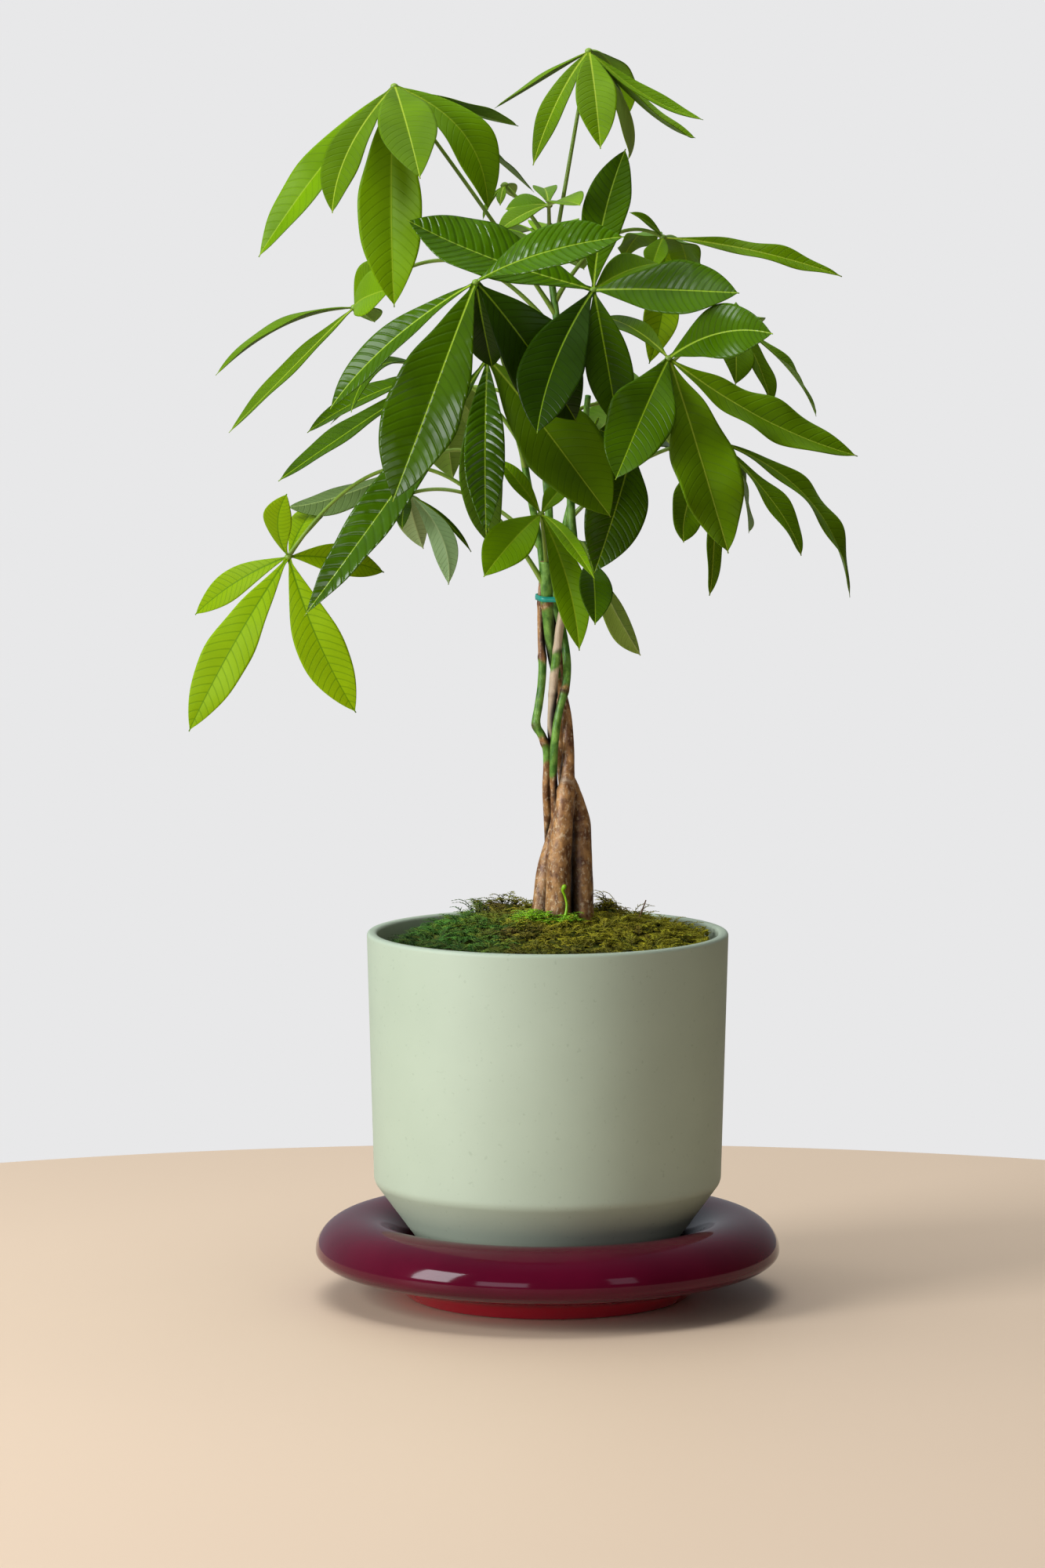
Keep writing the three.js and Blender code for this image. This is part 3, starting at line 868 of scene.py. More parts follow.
@dataclass
class Draft:
    """Gathers surfaces, in mm, into one mesh with marks at its points."""

    points: list[np.ndarray] = field(default_factory=list)
    faces: list[tuple[int, ...]] = field(default_factory=list)
    slots: list[int] = field(default_factory=list)
    marks: dict[str, list[np.ndarray]] = field(default_factory=dict)
    count: int = 0

    def add(
        self, points: np.ndarray, faces: list[tuple[int, ...]], slots: list[int] | int = 0,
        **marks: np.ndarray,
    ) -> None:
        """Adds a closed surface.

        Args:
            points: Its points, one row each.
            faces: The corners of each face, counted from this surface's first point.
            slots: The material number of each face, or one for all.
            **marks: Values at each point, one row each, by attribute name.
        """
        self.points.append(points)
        self.faces.extend(tuple(c + self.count for c in face) for face in faces)
        self.slots.extend(slots if isinstance(slots, list) else [slots] * len(faces))
        for name, values in marks.items():
            self.marks.setdefault(name, []).append(values)
        self.count += len(points)

    def loft(self, rings: np.ndarray, slot_of: list[int] | int = 0, **marks: np.ndarray) -> None:
        """Joins rings of points into a closed surface with a face at each end.

        Args:
            rings: Points as [ring, corner, xyz], turning to the right along the run.
            slot_of: The material number of each strip between corners, or one for all.
            **marks: Values at each point, as [ring, corner, value].
        """
        steps, sides = rings.shape[:2]
        faces: list[tuple[int, ...]] = []
        slots: list[int] = []
        strips = slot_of if isinstance(slot_of, list) else [slot_of] * sides
        for r in range(steps - 1):
            for c in range(sides):
                after = (c + 1) % sides
                a, b = r * sides + c, r * sides + after
                faces.append((a, b, b + sides, a + sides))
                slots.append(strips[c])
        faces.append(tuple(range(sides - 1, -1, -1)))
        faces.append(tuple(range((steps - 1) * sides, steps * sides)))
        slots.extend([strips[0], strips[-1]])
        flat = {name: values.reshape(-1, values.shape[-1]) for name, values in marks.items()}
        self.add(rings.reshape(-1, 3), faces, slots, **flat)

    def turn(self, outline: list[Point], sides: int, closed: bool = False) -> None:
        """Turns an outline of (radius, height) points about the Z axis.

        Args:
            outline: Its points, from below and outside round to the top or the inside.
            sides: How many facets go round.
            closed: True if the last point joins the first, for a shape that misses the axis.
        """
        angles = np.linspace(0, 2 * math.pi, sides, endpoint=False)
        circle = np.stack([np.cos(angles), np.sin(angles)], axis=1)
        points: list[np.ndarray] = []
        rows: list[list[int]] = []
        for radius, height in outline:
            first = sum(len(p) for p in points)
            if radius < 1e-6:
                points.append(np.array([[0.0, 0.0, height]]))
                rows.append([first] * sides)
            else:
                ring = np.column_stack([circle * radius, np.full(sides, height)])
                points.append(ring)
                rows.append(list(range(first, first + sides)))
        faces: list[tuple[int, ...]] = []
        pairs = list(zip(rows, rows[1:] + ([rows[0]] if closed else [])))
        for low, high in pairs:
            for i in range(sides):
                j = (i + 1) % sides
                corners = (low[i], low[j], high[j], high[i])
                faces.append(tuple(dict.fromkeys(corners)))
        self.add(np.concatenate(points), faces)

    def piece(
        self, name: str, materials: list[bpy.types.Material], shade_smooth: bool = True
    ) -> bpy.types.Object:
        """Makes the Blender object, in metres.

        Args:
            name: The object's name.
            materials: Its materials, in the order of the material numbers.
            shade_smooth: False for flat facets.

        Returns:
            The object, linked to the scene.
        """
        mesh = bpy.data.meshes.new(name)
        points = np.concatenate(self.points) * MM
        mesh.from_pydata(points.tolist(), [], self.faces)
        for material in materials:
            mesh.materials.append(material)
        mesh.polygons.foreach_set("material_index", self.slots)
        mesh.polygons.foreach_set("use_smooth", [shade_smooth] * len(self.faces))
        for mark, blocks in self.marks.items():
            values = np.concatenate(blocks).astype(np.float32)
            kind, key = ("FLOAT", "value") if values.shape[1] == 1 else ("FLOAT_VECTOR", "vector")
            layer = mesh.attributes.new(mark, kind, "POINT")
            layer.data.foreach_set(key, values.ravel())
        mesh.update()
        made = bpy.data.objects.new(name, mesh)
        bpy.context.scene.collection.objects.link(made)
        log.info("%s: %d points, %d faces", name, len(points), len(self.faces))
        return made


def soften(outline: list[Point], radii: dict[int, float], steps: int = 6) -> list[Point]:
    """Rounds corners of an outline.

    Args:
        outline: Its (radius, height) points.
        radii: How far from the corner the rounding starts, by the corner's number.
        steps: How many points each rounding gets.

    Returns:
        The rounded outline.
    """
    rounded: list[Point] = []
    for i, corner in enumerate(outline):
        if i not in radii:
            rounded.append(corner)
            continue
        middle = np.array(corner)
        before = np.array(outline[i - 1])
        after = np.array(outline[(i + 1) % len(outline)])
        start = middle + unit(before - middle) * radii[i]
        end = middle + unit(after - middle) * radii[i]
        for s in range(steps + 1):
            t = s / steps
            point = start * (1 - t) ** 2 + middle * 2 * t * (1 - t) + end * t**2
            rounded.append((float(point[0]), float(point[1])))
    return rounded


@dataclass
class Route:
    """A smooth curve through given places, evenly spaced along its length."""

    line: np.ndarray
    radii: np.ndarray

    @classmethod
    def through(cls, stations: list[Point], spacing: float) -> "Route":
        """The curve through a stem's stations.

        Args:
            stations: [across, down, forward, radius] of each, from the soil up.
            spacing: The distance between the curve's points, in mm.

        Returns:
            The route.
        """
        places = np.array([VIEW.seen(*station[:3]) for station in stations])
        radii = np.array([station[3] for station in stations])
        ends = np.vstack([2 * places[0] - places[1], places, 2 * places[-1] - places[-2]])
        dense, thick = [], []
        # A Catmull-Rom curve: it passes each place along the line between its neighbours.
        for i in range(len(places) - 1):
            p0, p1, p2, p3 = ends[i : i + 4]
            for t in np.linspace(0, 1, CURVE_STEPS, endpoint=False):
                dense.append(
                    0.5 * (2 * p1 + (p2 - p0) * t + (2 * p0 - 5 * p1 + 4 * p2 - p3) * t**2
                           + (3 * p1 - p0 - 3 * p2 + p3) * t**3)
                )
                thick.append(radii[i] + (radii[i + 1] - radii[i]) * t)
        dense.append(places[-1])
        thick.append(radii[-1])
        return cls.evened(np.array(dense), np.array(thick), spacing)

    @classmethod
    def evened(cls, dense: np.ndarray, thick: np.ndarray, spacing: float) -> "Route":
        """Spaces a route's points evenly.

        Args:
            dense: Points close together along it.
            thick: Its radius at each of them, in mm.
            spacing: How far apart the new points are, in mm.

        Returns:
            The route.
        """
        steps = np.linalg.norm(np.diff(dense, axis=0), axis=1)
        length = np.concatenate([[0], np.cumsum(steps)])
        count = max(4, int(length[-1] / spacing))
        at = np.linspace(0, length[-1], count + 1)
        line = np.column_stack([np.interp(at, length, dense[:, k]) for k in range(3)])
        return cls(line, np.interp(at, length, thick))

    def at_height(self, height: float) -> np.ndarray:
        """The first place of the route that reaches a height, in mm."""
        above = np.argmax(self.line[:, 2] >= height)
        return self.line[above]

    def rings(self, sides: int, swell: np.ndarray | None = None) -> np.ndarray:
        """Rings of points round the route that don't twist.

        Args:
            sides: How many points each ring has.
            swell: What the radius is multiplied by, as [ring, corner].

        Returns:
            Points as [ring, corner, xyz].
        """
        heading = np.gradient(self.line, axis=0)
        heading /= np.linalg.norm(heading, axis=1, keepdims=True)
        first = np.array([1.0, 0.0, 0.0])
        if abs(heading[0] @ first) > 0.9:
            first = np.array([0.0, 1.0, 0.0])
        normal = unit(first - heading[0] * (heading[0] @ first))
        angles = np.linspace(0, 2 * math.pi, sides, endpoint=False)
        rings = []
        for i, ahead in enumerate(heading):
            normal = unit(normal - ahead * (ahead @ normal))
            side = np.cross(ahead, normal)
            radius = self.radii[i] * (swell[i] if swell is not None else 1.0)
            offset = np.outer(np.cos(angles) * radius, normal) + np.outer(
                np.sin(angles) * radius, side
            )
            rings.append(self.line[i] + offset)
        return np.array(rings)


def dress(piece: bpy.types.Object, slot: str, *nodes: str) -> bpy.types.Object:
    """Lets a piece ride with the part and hides the nodes it stands for.

    Args:
        piece: The piece.
        slot: Its material slot in the record; not used.
        *nodes: The nodes that it replaces.

    Returns:
        The piece.
    """
    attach(piece, "root")
    if nodes:
        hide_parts(*nodes)
    return piece


# ---- Saucer and pot ----


@dataclass
class Saucer:
    """A heavy saucer with a bubble rim, on a small foot."""

    foot_radius: float = 70.0
    floor_top: float = 8.0
    well_radius: float = 64.0
    rim_radius: float = 94.0
    rim_widest: float = 23.0
    rim_half_width: float = 22.0
    rim_rise: float = 17.5
    rim_drop: float = 9.5
    rim_start: float = -3 * math.pi / 6.4
    rim_end: float = 7 * math.pi / 6.4
    rim_points: int = 49
    foot_flare: Point = (9.0, 9.0)
    sides: int = 192

    def build(self) -> None:
        """Makes the saucer in the node's place."""
        rim: list[Point] = []
        for turn in np.linspace(self.rim_start, self.rim_end, self.rim_points):
            reach = self.rim_drop if turn < 0 else self.rim_rise
            rim.append((
                self.rim_radius + self.rim_half_width * math.cos(turn),
                self.rim_widest + reach * math.sin(turn),
            ))
        last = 3 + len(rim)
        flare_out, flare_up = self.foot_flare
        outline = [
            (0.0, 0.0), (self.foot_radius, 0.0), (self.foot_radius + flare_out, flare_up), *rim,
            (self.well_radius, self.floor_top), (0.0, self.floor_top),
        ]
        mesh = Draft()
        mesh.turn(soften(outline, {1: 2.5, 2: 5.0, last: 6.0}), self.sides)
        dress(mesh.piece("saucer_body", [SaucerGlaze().build()]), "saucer_glaze", "saucer")


@dataclass
class Pot:
    """A tapered pot with a softly rounded knee near its base and a drain hole."""

    bottom: float = 8.3
    rim_height: float = 183.0
    rim_radius: float = 90.0
    knee_height: float = 58.0
    knee_radius: float = 86.6
    knee_lift: float = 0.35
    base_radius: float = 50.0
    wall: float = 5.0
    base: float = 7.0
    drain_radius: float = 8.0
    sides: int = 192

    def line(self, inset: float, low: float, high: float) -> list[Point]:
        """The outline of one face of the wall, from base to rim.

        Args:
            inset: How far inside the outer face it is, in mm.
            low: Its lowest height, in mm.
            high: Its highest height, in mm.

        Returns:
            Its (radius, height) points: base, knee and rim.
        """
        lower = (self.knee_radius - self.base_radius) / (self.knee_height - self.bottom)
        upper = (self.rim_radius - self.knee_radius) / (self.rim_height - self.knee_height)
        knee_height = self.knee_height + inset * self.knee_lift
        knee_radius = self.knee_radius - inset
        return [
            (knee_radius - lower * (knee_height - low), low),
            (knee_radius, knee_height),
            (knee_radius + upper * (high - knee_height), high),
        ]

    def build(self) -> None:
        """Makes the pot in the node's place."""
        inner = self.line(self.wall, self.bottom + self.base, self.rim_height)[::-1]
        outline = [
            (self.drain_radius, self.bottom),
            *self.line(0.0, self.bottom, self.rim_height),
            *inner,
            (self.drain_radius, self.bottom + self.base),
        ]
        rounded = soften(outline, {1: 3.0, 2: 2.6, 3: 2.0, 4: 2.0, 5: 6.0, 6: 4.0})
        mesh = Draft()
        mesh.turn(rounded, self.sides, closed=True)
        dress(mesh.piece("pot_body", [PotGlaze().build()]), "pot_glaze", "pot")


# ---- Soil and moss ----


@dataclass
class Soil:
    """The soil, which stays the part's own solid and only gets its finish."""

    node: str = "soil"

    def build(self) -> None:
        """Gives the node its finish."""
        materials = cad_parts[self.node].data.materials
        materials.clear()
        materials.append(PottingSoil().build())


@dataclass
class Moss:
    """A low mound of living moss: feathery fronds that lie over each other in clumps.

    Attributes:
        edge_height: How high the moss stands at the pot's wall, in mm.
        rise: How much higher it stands in the middle, in mm.
        tilt: How much it rises to the right, in mm for each mm.
        depth: How far the mound's own face lies below the tops of the fronds, in mm.
        lump: How high its clumps are, in mm.
        wall_gap: How far the spikes stay inside the moss's radius, in mm.
        root_share: The share of the radius that fronds root in.
        lean: How far a spike turns from its neighbours' lean, as a spread in radians.
        stand: The least and the most that a spike stands up.
        sway: How far a spike bends sideways, as a spread in shares of its length.
        fresh_spots: [x, y] of the middle of each patch of fresh growth.
        brown_spots: [x, y, size] of each brown patch.
        tufts: [x, y] of each taller tuft.
        hummocks: [x, y, rise, size] of each hummock.
        brown: The middle and the spread of how brown a frond is outside those patches.
    """

    edge_height: float = 178.0
    rise: float = 13.0
    tilt: float = 0.03
    radius: float = 82.0
    depth: float = 3.4
    lump: float = 4.6
    bottom: float = 171.3
    wall_gap: float = 1.2
    root_share: float = 0.985
    spike_stations: int = 5
    lean: float = 0.7
    stand: Point = (0.55, 1.35)
    sway: float = 0.16
    sides: int = 120
    rings: int = 40
    fronds: int = 2900
    frond_length: Point = (6.0, 11.5)
    frond_radius: float = 0.3
    strands: int = 3600
    strand_length: Point = (2.5, 5.5)
    strand_radius: float = 0.34
    pairs: int = 7
    leaf_length: float = 3.0
    leaf_half_width: float = 0.42
    leaf_thickness: float = 0.28
    fresh_spots: tuple[Point, ...] = (
        (-7, -11), (-4, -13), (1, -15), (7, -16), (13, -14), (-10, -8),
    )
    fresh_per_spot: int = 16
    fresh_spread: float = 2.4
    fresh_depth: float = 1.2
    brown_spots: tuple[Point, ...] = (
        (-16, -34, 13), (-22, 34, 14), (36, 26, 9), (48, -28, 7),
    )
    tufts: tuple[Point, ...] = ((-24, 44), (-40, 38), (-8, 48), (30, 30), (38, 34))
    tuft_size: float = 8.0
    tuft_stand: float = 0.55
    tuft_length: float = 0.2
    hummocks: tuple[Point, ...] = (
        (-24, 42, 7.5, 13), (-44, 38, 3, 11), (-6, 40, 5.5, 9), (31, 34, 7, 10), (-56, 8, 2, 15),
    )
    olive_spread: float = 0.16
    brown: Point = (0.02, 0.1)
    spot_brown: float = 0.85
    most_brown: float = 0.9
    brightness: Point = (0.45, 1.0)
    edge_shade: float = 0.6

    def height(self, x: np.ndarray, y: np.ndarray) -> np.ndarray:
        """How high the moss stands, fronds and all.

        Args:
            x: Places across, in mm.
            y: Places from front to back, in mm.

        Returns:
            The height at each place, in mm.
        """
        share = np.minimum(1.0, np.hypot(x, y) / self.radius)
        clumps = np.sin(x / 5.4 + 1.2 * np.sin(y / 8.3)) * np.sin(y / 4.9 + np.cos(x / 7.1))
        mound = self.edge_height + self.tilt * x + self.rise * (1 - share**1.7)
        for middle_x, middle_y, rise, size in self.hummocks:
            away = np.hypot(x - middle_x, y - middle_y) / size
            mound = mound + rise * np.exp(-(away**2))
        return mound + self.lump * (np.abs(clumps) ** 0.6 - 0.55) * (1 - share**8)

    def build(self) -> None:
        """Makes the mound with its strands, the fronds, the fresh growth and the seedling."""
        draws = np.random.default_rng(SEED)
        fibre = MossFibre().build()
        mesh = Draft()
        self.add_mound(mesh)
        roots = self.roots(draws, self.strands)
        length = draws.uniform(*self.strand_length, len(roots))
        self.add_spikes(mesh, draws, roots, length, self.strand_radius)
        dress(mesh.piece("moss_cushion", [fibre]), "moss", "moss")
        roots = self.roots(draws, self.fronds)
        for name, side in (("moss_fronds_left", -1), ("moss_fronds_right", 1)):
            mesh = Draft()
            self.add_fronds(mesh, draws, roots[roots[:, 0] * side > 0])
            dress(mesh.piece(name, [fibre]), "moss", "moss")
        mesh = Draft()
        self.add_fronds(mesh, draws, self.fresh_roots(draws))
        dress(mesh.piece("moss_fresh", [Sprout().build()]), "moss", "moss")
        self.add_seedling()

    def add_mound(self, mesh: Draft) -> None:
        """Adds the closed mound that the fronds root in.

        Args:
            mesh: The mesh it goes in.
        """
        angles = np.linspace(0, 2 * math.pi, self.sides, endpoint=False)
        rings = []
        for share in np.linspace(1.0, 0.02, self.rings):
            x = self.radius * share * np.cos(angles)
            y = self.radius * share * np.sin(angles)
            z = self.height(x, y) - self.depth + 0.9 * np.sin(x * 1.9) * np.sin(y * 2.3)
            rings.append(np.column_stack([x, y, np.maximum(z, self.bottom + 0.5)]))
        rings.insert(0, np.column_stack([rings[0][:, :2], np.full(self.sides, self.bottom)]))
        middle = rings[-1] * [1, 1, 0] + [0, 0, self.bottom]
        rings.insert(0, middle)
        grid = np.array(rings)
        marks = np.zeros(grid.shape)
        marks[..., 0] = 0.5
        # Painted shade: the mound under the fronds is darkened most of the way to the root colour.
        marks[..., 1] = 0.2
        mesh.loft(grid, 0, frond=marks)

    def roots(self, draws: np.random.Generator, count: int) -> np.ndarray:
        """Picks places all over the moss.

        Args:
            draws: The random draws.
            count: How many places.

        Returns:
            The place [x, y, z] of each, at the mound's face.
        """
        angle = draws.uniform(0, 2 * math.pi, count)
        reach = self.radius * np.sqrt(draws.uniform(0, 1, count)) * self.root_share
        x, y = reach * np.cos(angle), reach * np.sin(angle)
        return np.column_stack([x, y, self.height(x, y) - self.depth])

    def fresh_roots(self, draws: np.random.Generator) -> np.ndarray:
        """Picks places for the new bright growth, in front of the stems and beside them.

        Args:
            draws: The random draws.

        Returns:
            The place [x, y, z] of each.
        """
        places = np.repeat(np.array(self.fresh_spots), self.fresh_per_spot, axis=0)
        places = places + draws.normal(0, self.fresh_spread, places.shape)
        return np.column_stack([places, self.height(*places.T) - self.fresh_depth])

    def hues(self, places: np.ndarray, draws: np.random.Generator) -> tuple[np.ndarray, ...]:
        """Draws the hue of the frond at each place.

        Args:
            places: The places, as [frond, xyz].
            draws: The random draws.

        Returns:
            How olive and how brown each is, from 0 to 1.
        """
        x, y = places[:, 0], places[:, 1]
        drift = np.sin(x / 9 + 1.3 * np.sin(y / 11)) * np.sin(y / 8 + 1)
        olive = smooth(x + 14 * drift, -48, 4) + draws.normal(0, self.olive_spread, len(x))
        brown = draws.normal(*self.brown, len(x))
        for spot_x, spot_y, size in self.brown_spots:
            away = np.hypot(x - spot_x, (y - spot_y) * 1.2)
            brown = np.maximum(brown, self.spot_brown * np.exp(-((away / size) ** 2)))
        return np.clip(olive, 0, 1), np.clip(brown, 0, self.most_brown)

    def add_spikes(
        self, mesh: Draft, draws: np.random.Generator, roots: np.ndarray, length: np.ndarray,
        radius: float,
    ) -> tuple[np.ndarray, np.ndarray]:
        """Adds curved three-sided spikes that rise, arch over and lie down again.

        Neighbours lean much the same way, which gathers them into clumps. Tufts stand taller.

        Args:
            mesh: The mesh they go in.
            draws: The random draws.
            roots: Where each starts.
            length: How long each is, in mm.
            radius: Half their thickness at the root, in mm.

        Returns:
            The middle line of each spike, as [spike, station, xyz], and the marks of each.
        """
        count, stations = len(roots), self.spike_stations
        x, y = roots[:, 0], roots[:, 1]
        flow = 2.6 * np.sin(x / 14 + 1) + 2.6 * np.cos(y / 11 + 0.5)
        turn = flow + draws.normal(0, self.lean, count)
        stand = draws.uniform(*self.stand, count)
        for tuft in self.tufts:
            near = np.exp(-((np.hypot(x - tuft[0], y - tuft[1]) / self.tuft_size) ** 2))
            stand += self.tuft_stand * near
            length = length * (1 + self.tuft_length * near)
        flat = np.column_stack([np.cos(turn), np.sin(turn), np.zeros(count)])
        t = np.linspace(0, 1, stations)
        reach = length[:, None] * (0.5 * t + 0.35 * t**2)
        rise = length[:, None] * stand[:, None] * (0.95 * t - 0.62 * t**2)
        sway = length * draws.normal(0, self.sway, count)
        side = np.column_stack([-np.sin(turn), np.cos(turn), np.zeros(count)])
        lines = roots[:, None] + flat[:, None] * reach[..., None]
        lines = lines + side[:, None] * (sway[:, None] * t**2)[..., None]
        lines[..., 2] += rise
        # Nothing reaches past the pot's wall.
        limit = self.radius - self.wall_gap
        spread = np.hypot(lines[..., 0], lines[..., 1])
        lines[..., :2] *= np.minimum(1.0, limit / np.maximum(spread, 1e-6))[..., None]
        corners = np.linspace(0, 2 * math.pi, 3, endpoint=False)
        width = radius * (1 - 0.8 * t)
        offset = (
            np.cos(corners)[None, None, :, None] * np.array([0.0, 0.0, 1.0])
            + np.sin(corners)[None, None, :, None] * side[:, None, None]
        ) * width[None, :, None, None]
        rings = lines[:, :, None] + offset
        faces = []
        for s in range(stations - 1):
            for c in range(3):
                a, b = s * 3 + c, s * 3 + (c + 1) % 3
                faces.append((a, a + 3, b + 3, b))
        last = (stations - 1) * 3
        faces += [(0, 1, 2), (last + 2, last + 1, last)]
        olive, brown = self.hues(roots, draws)
        # Painted shade: the front left edge is darkened as if in the pot's shade, and each spike
        # darkens from its tip down to its root, where shade falls among the fronds.
        edge = smooth(np.hypot(x, y) / self.radius, 0.62, 0.88) * smooth(-y - x, 0, 50)
        bright = draws.uniform(*self.brightness, count) * (1 - self.edge_shade * edge)
        marks = np.zeros((count, stations, 3, 3))
        marks[..., 0] = olive[:, None, None]
        marks[..., 1] = (bright[:, None] * (0.05 + 0.95 * t)[None])[..., None]
        marks[..., 2] = brown[:, None, None]
        self.repeat(mesh, rings, faces, marks)
        return lines, np.column_stack([olive, bright, brown])

    def repeat(
        self, mesh: Draft, points: np.ndarray, faces: list[tuple[int, ...]], marks: np.ndarray
    ) -> None:
        """Adds many copies of one small closed shape, each with its own points.

        Args:
            mesh: The mesh they go in.
            points: The points, as [copy, ..., xyz].
            faces: One copy's faces.
            marks: The marks, shaped as the points are.
        """
        size = int(np.prod(points.shape[1:-1]))
        every = [
            tuple(c + size * i for c in face) for i in range(len(points)) for face in faces
        ]
        mesh.add(points.reshape(-1, 3), every, 0, frond=marks.reshape(-1, 3))

    def add_fronds(self, mesh: Draft, draws: np.random.Generator, roots: np.ndarray) -> None:
        """Adds feathery fronds: a curved midline with small leaves in pairs.

        Args:
            mesh: The mesh they go in.
            draws: The random draws.
            roots: Where each starts.
        """
        count = len(roots)
        length = draws.uniform(*self.frond_length, count)
        lines, marks = self.add_spikes(mesh, draws, roots, length, self.frond_radius)
        stations = lines.shape[1] - 1
        for k in range(self.pairs):
            t = 0.16 + 0.8 * k / (self.pairs - 1)
            i = min(int(t * stations), stations - 1)
            part = t * stations - i
            place = lines[:, i] * (1 - part) + lines[:, i + 1] * part
            along = lines[:, i + 1] - lines[:, i]
            along /= np.linalg.norm(along, axis=1, keepdims=True)
            side = np.cross(along, [0.0, 0.0, 1.0])
            side /= np.linalg.norm(side, axis=1, keepdims=True) + 1e-9
            lift = np.cross(side, along)
            size = self.leaf_length * (1 - 0.7 * t**1.5) * draws.uniform(0.65, 1.15, count)
            for hand in (-1, 1):
                tip = place + (side * hand + along * 0.75 + lift * 0.1) * size[:, None]
                width = along * self.leaf_half_width
                ridge = place + lift * self.leaf_thickness
                corners = np.stack([place - width, place + width, ridge, tip], axis=1)
                faces = [(0, 1, 3), (1, 2, 3), (2, 0, 3), (0, 2, 1)]
                if hand < 0:
                    faces = [face[::-1] for face in faces]
                values = np.repeat(marks[:, None], 4, axis=1)
                # Painted shade: each small leaf darkens at its base, and more so on the lower pairs.
                values[:, :3, 1] *= 0.35 + 0.5 * t
                self.repeat(mesh, corners, faces, values)

    def add_seedling(self) -> None:
        """Adds the bright seedling in front of the stems, and a dry twig to their right."""
        sprout = Route.through(
            [(708, 1186, 14, 0.9), (720, 1170, 17, 0.8), (723, 1156, 17, 0.6),
             (721, 1144, 17, 0.6), (718, 1136, 17.5, 0.8), (720, 1131, 18, 1.3),
             (722, 1129, 18, 0.5)], 0.6)
        mesh = Draft()
        mesh.loft(sprout.rings(10))
        dress(mesh.piece("seedling", [Sprout().build()]), "moss")
        twig = Route.through(
            [(812, 1176, -8, 0.5), (818, 1164, -10, 0.45), (824, 1148, -12, 0.3)], 1.0)
        mesh = Draft()
        mesh.loft(twig.rings(6))
        dress(mesh.piece("twig", [CutWood().build()]), "moss")


# ---- Stems and tie ----


@dataclass(frozen=True)
class Stem:
    """One stem.

    Attributes:
        node: The node it stands for.
        stations: Its route, as [across, down, forward, radius].
        greens: From how far down the view to how far up its skin is green, for each length.
        scars: How far down the view its old leaf scars are.
        dried: The length whose bark has dried pale, or none.
        pruned: True if it ends in a cut.
    """

    node: str
    stations: list[Point]
    greens: tuple[Point, ...]
    scars: tuple[float, ...] = ()
    dried: Point = (0.0, 0.0)
    pruned: bool = False


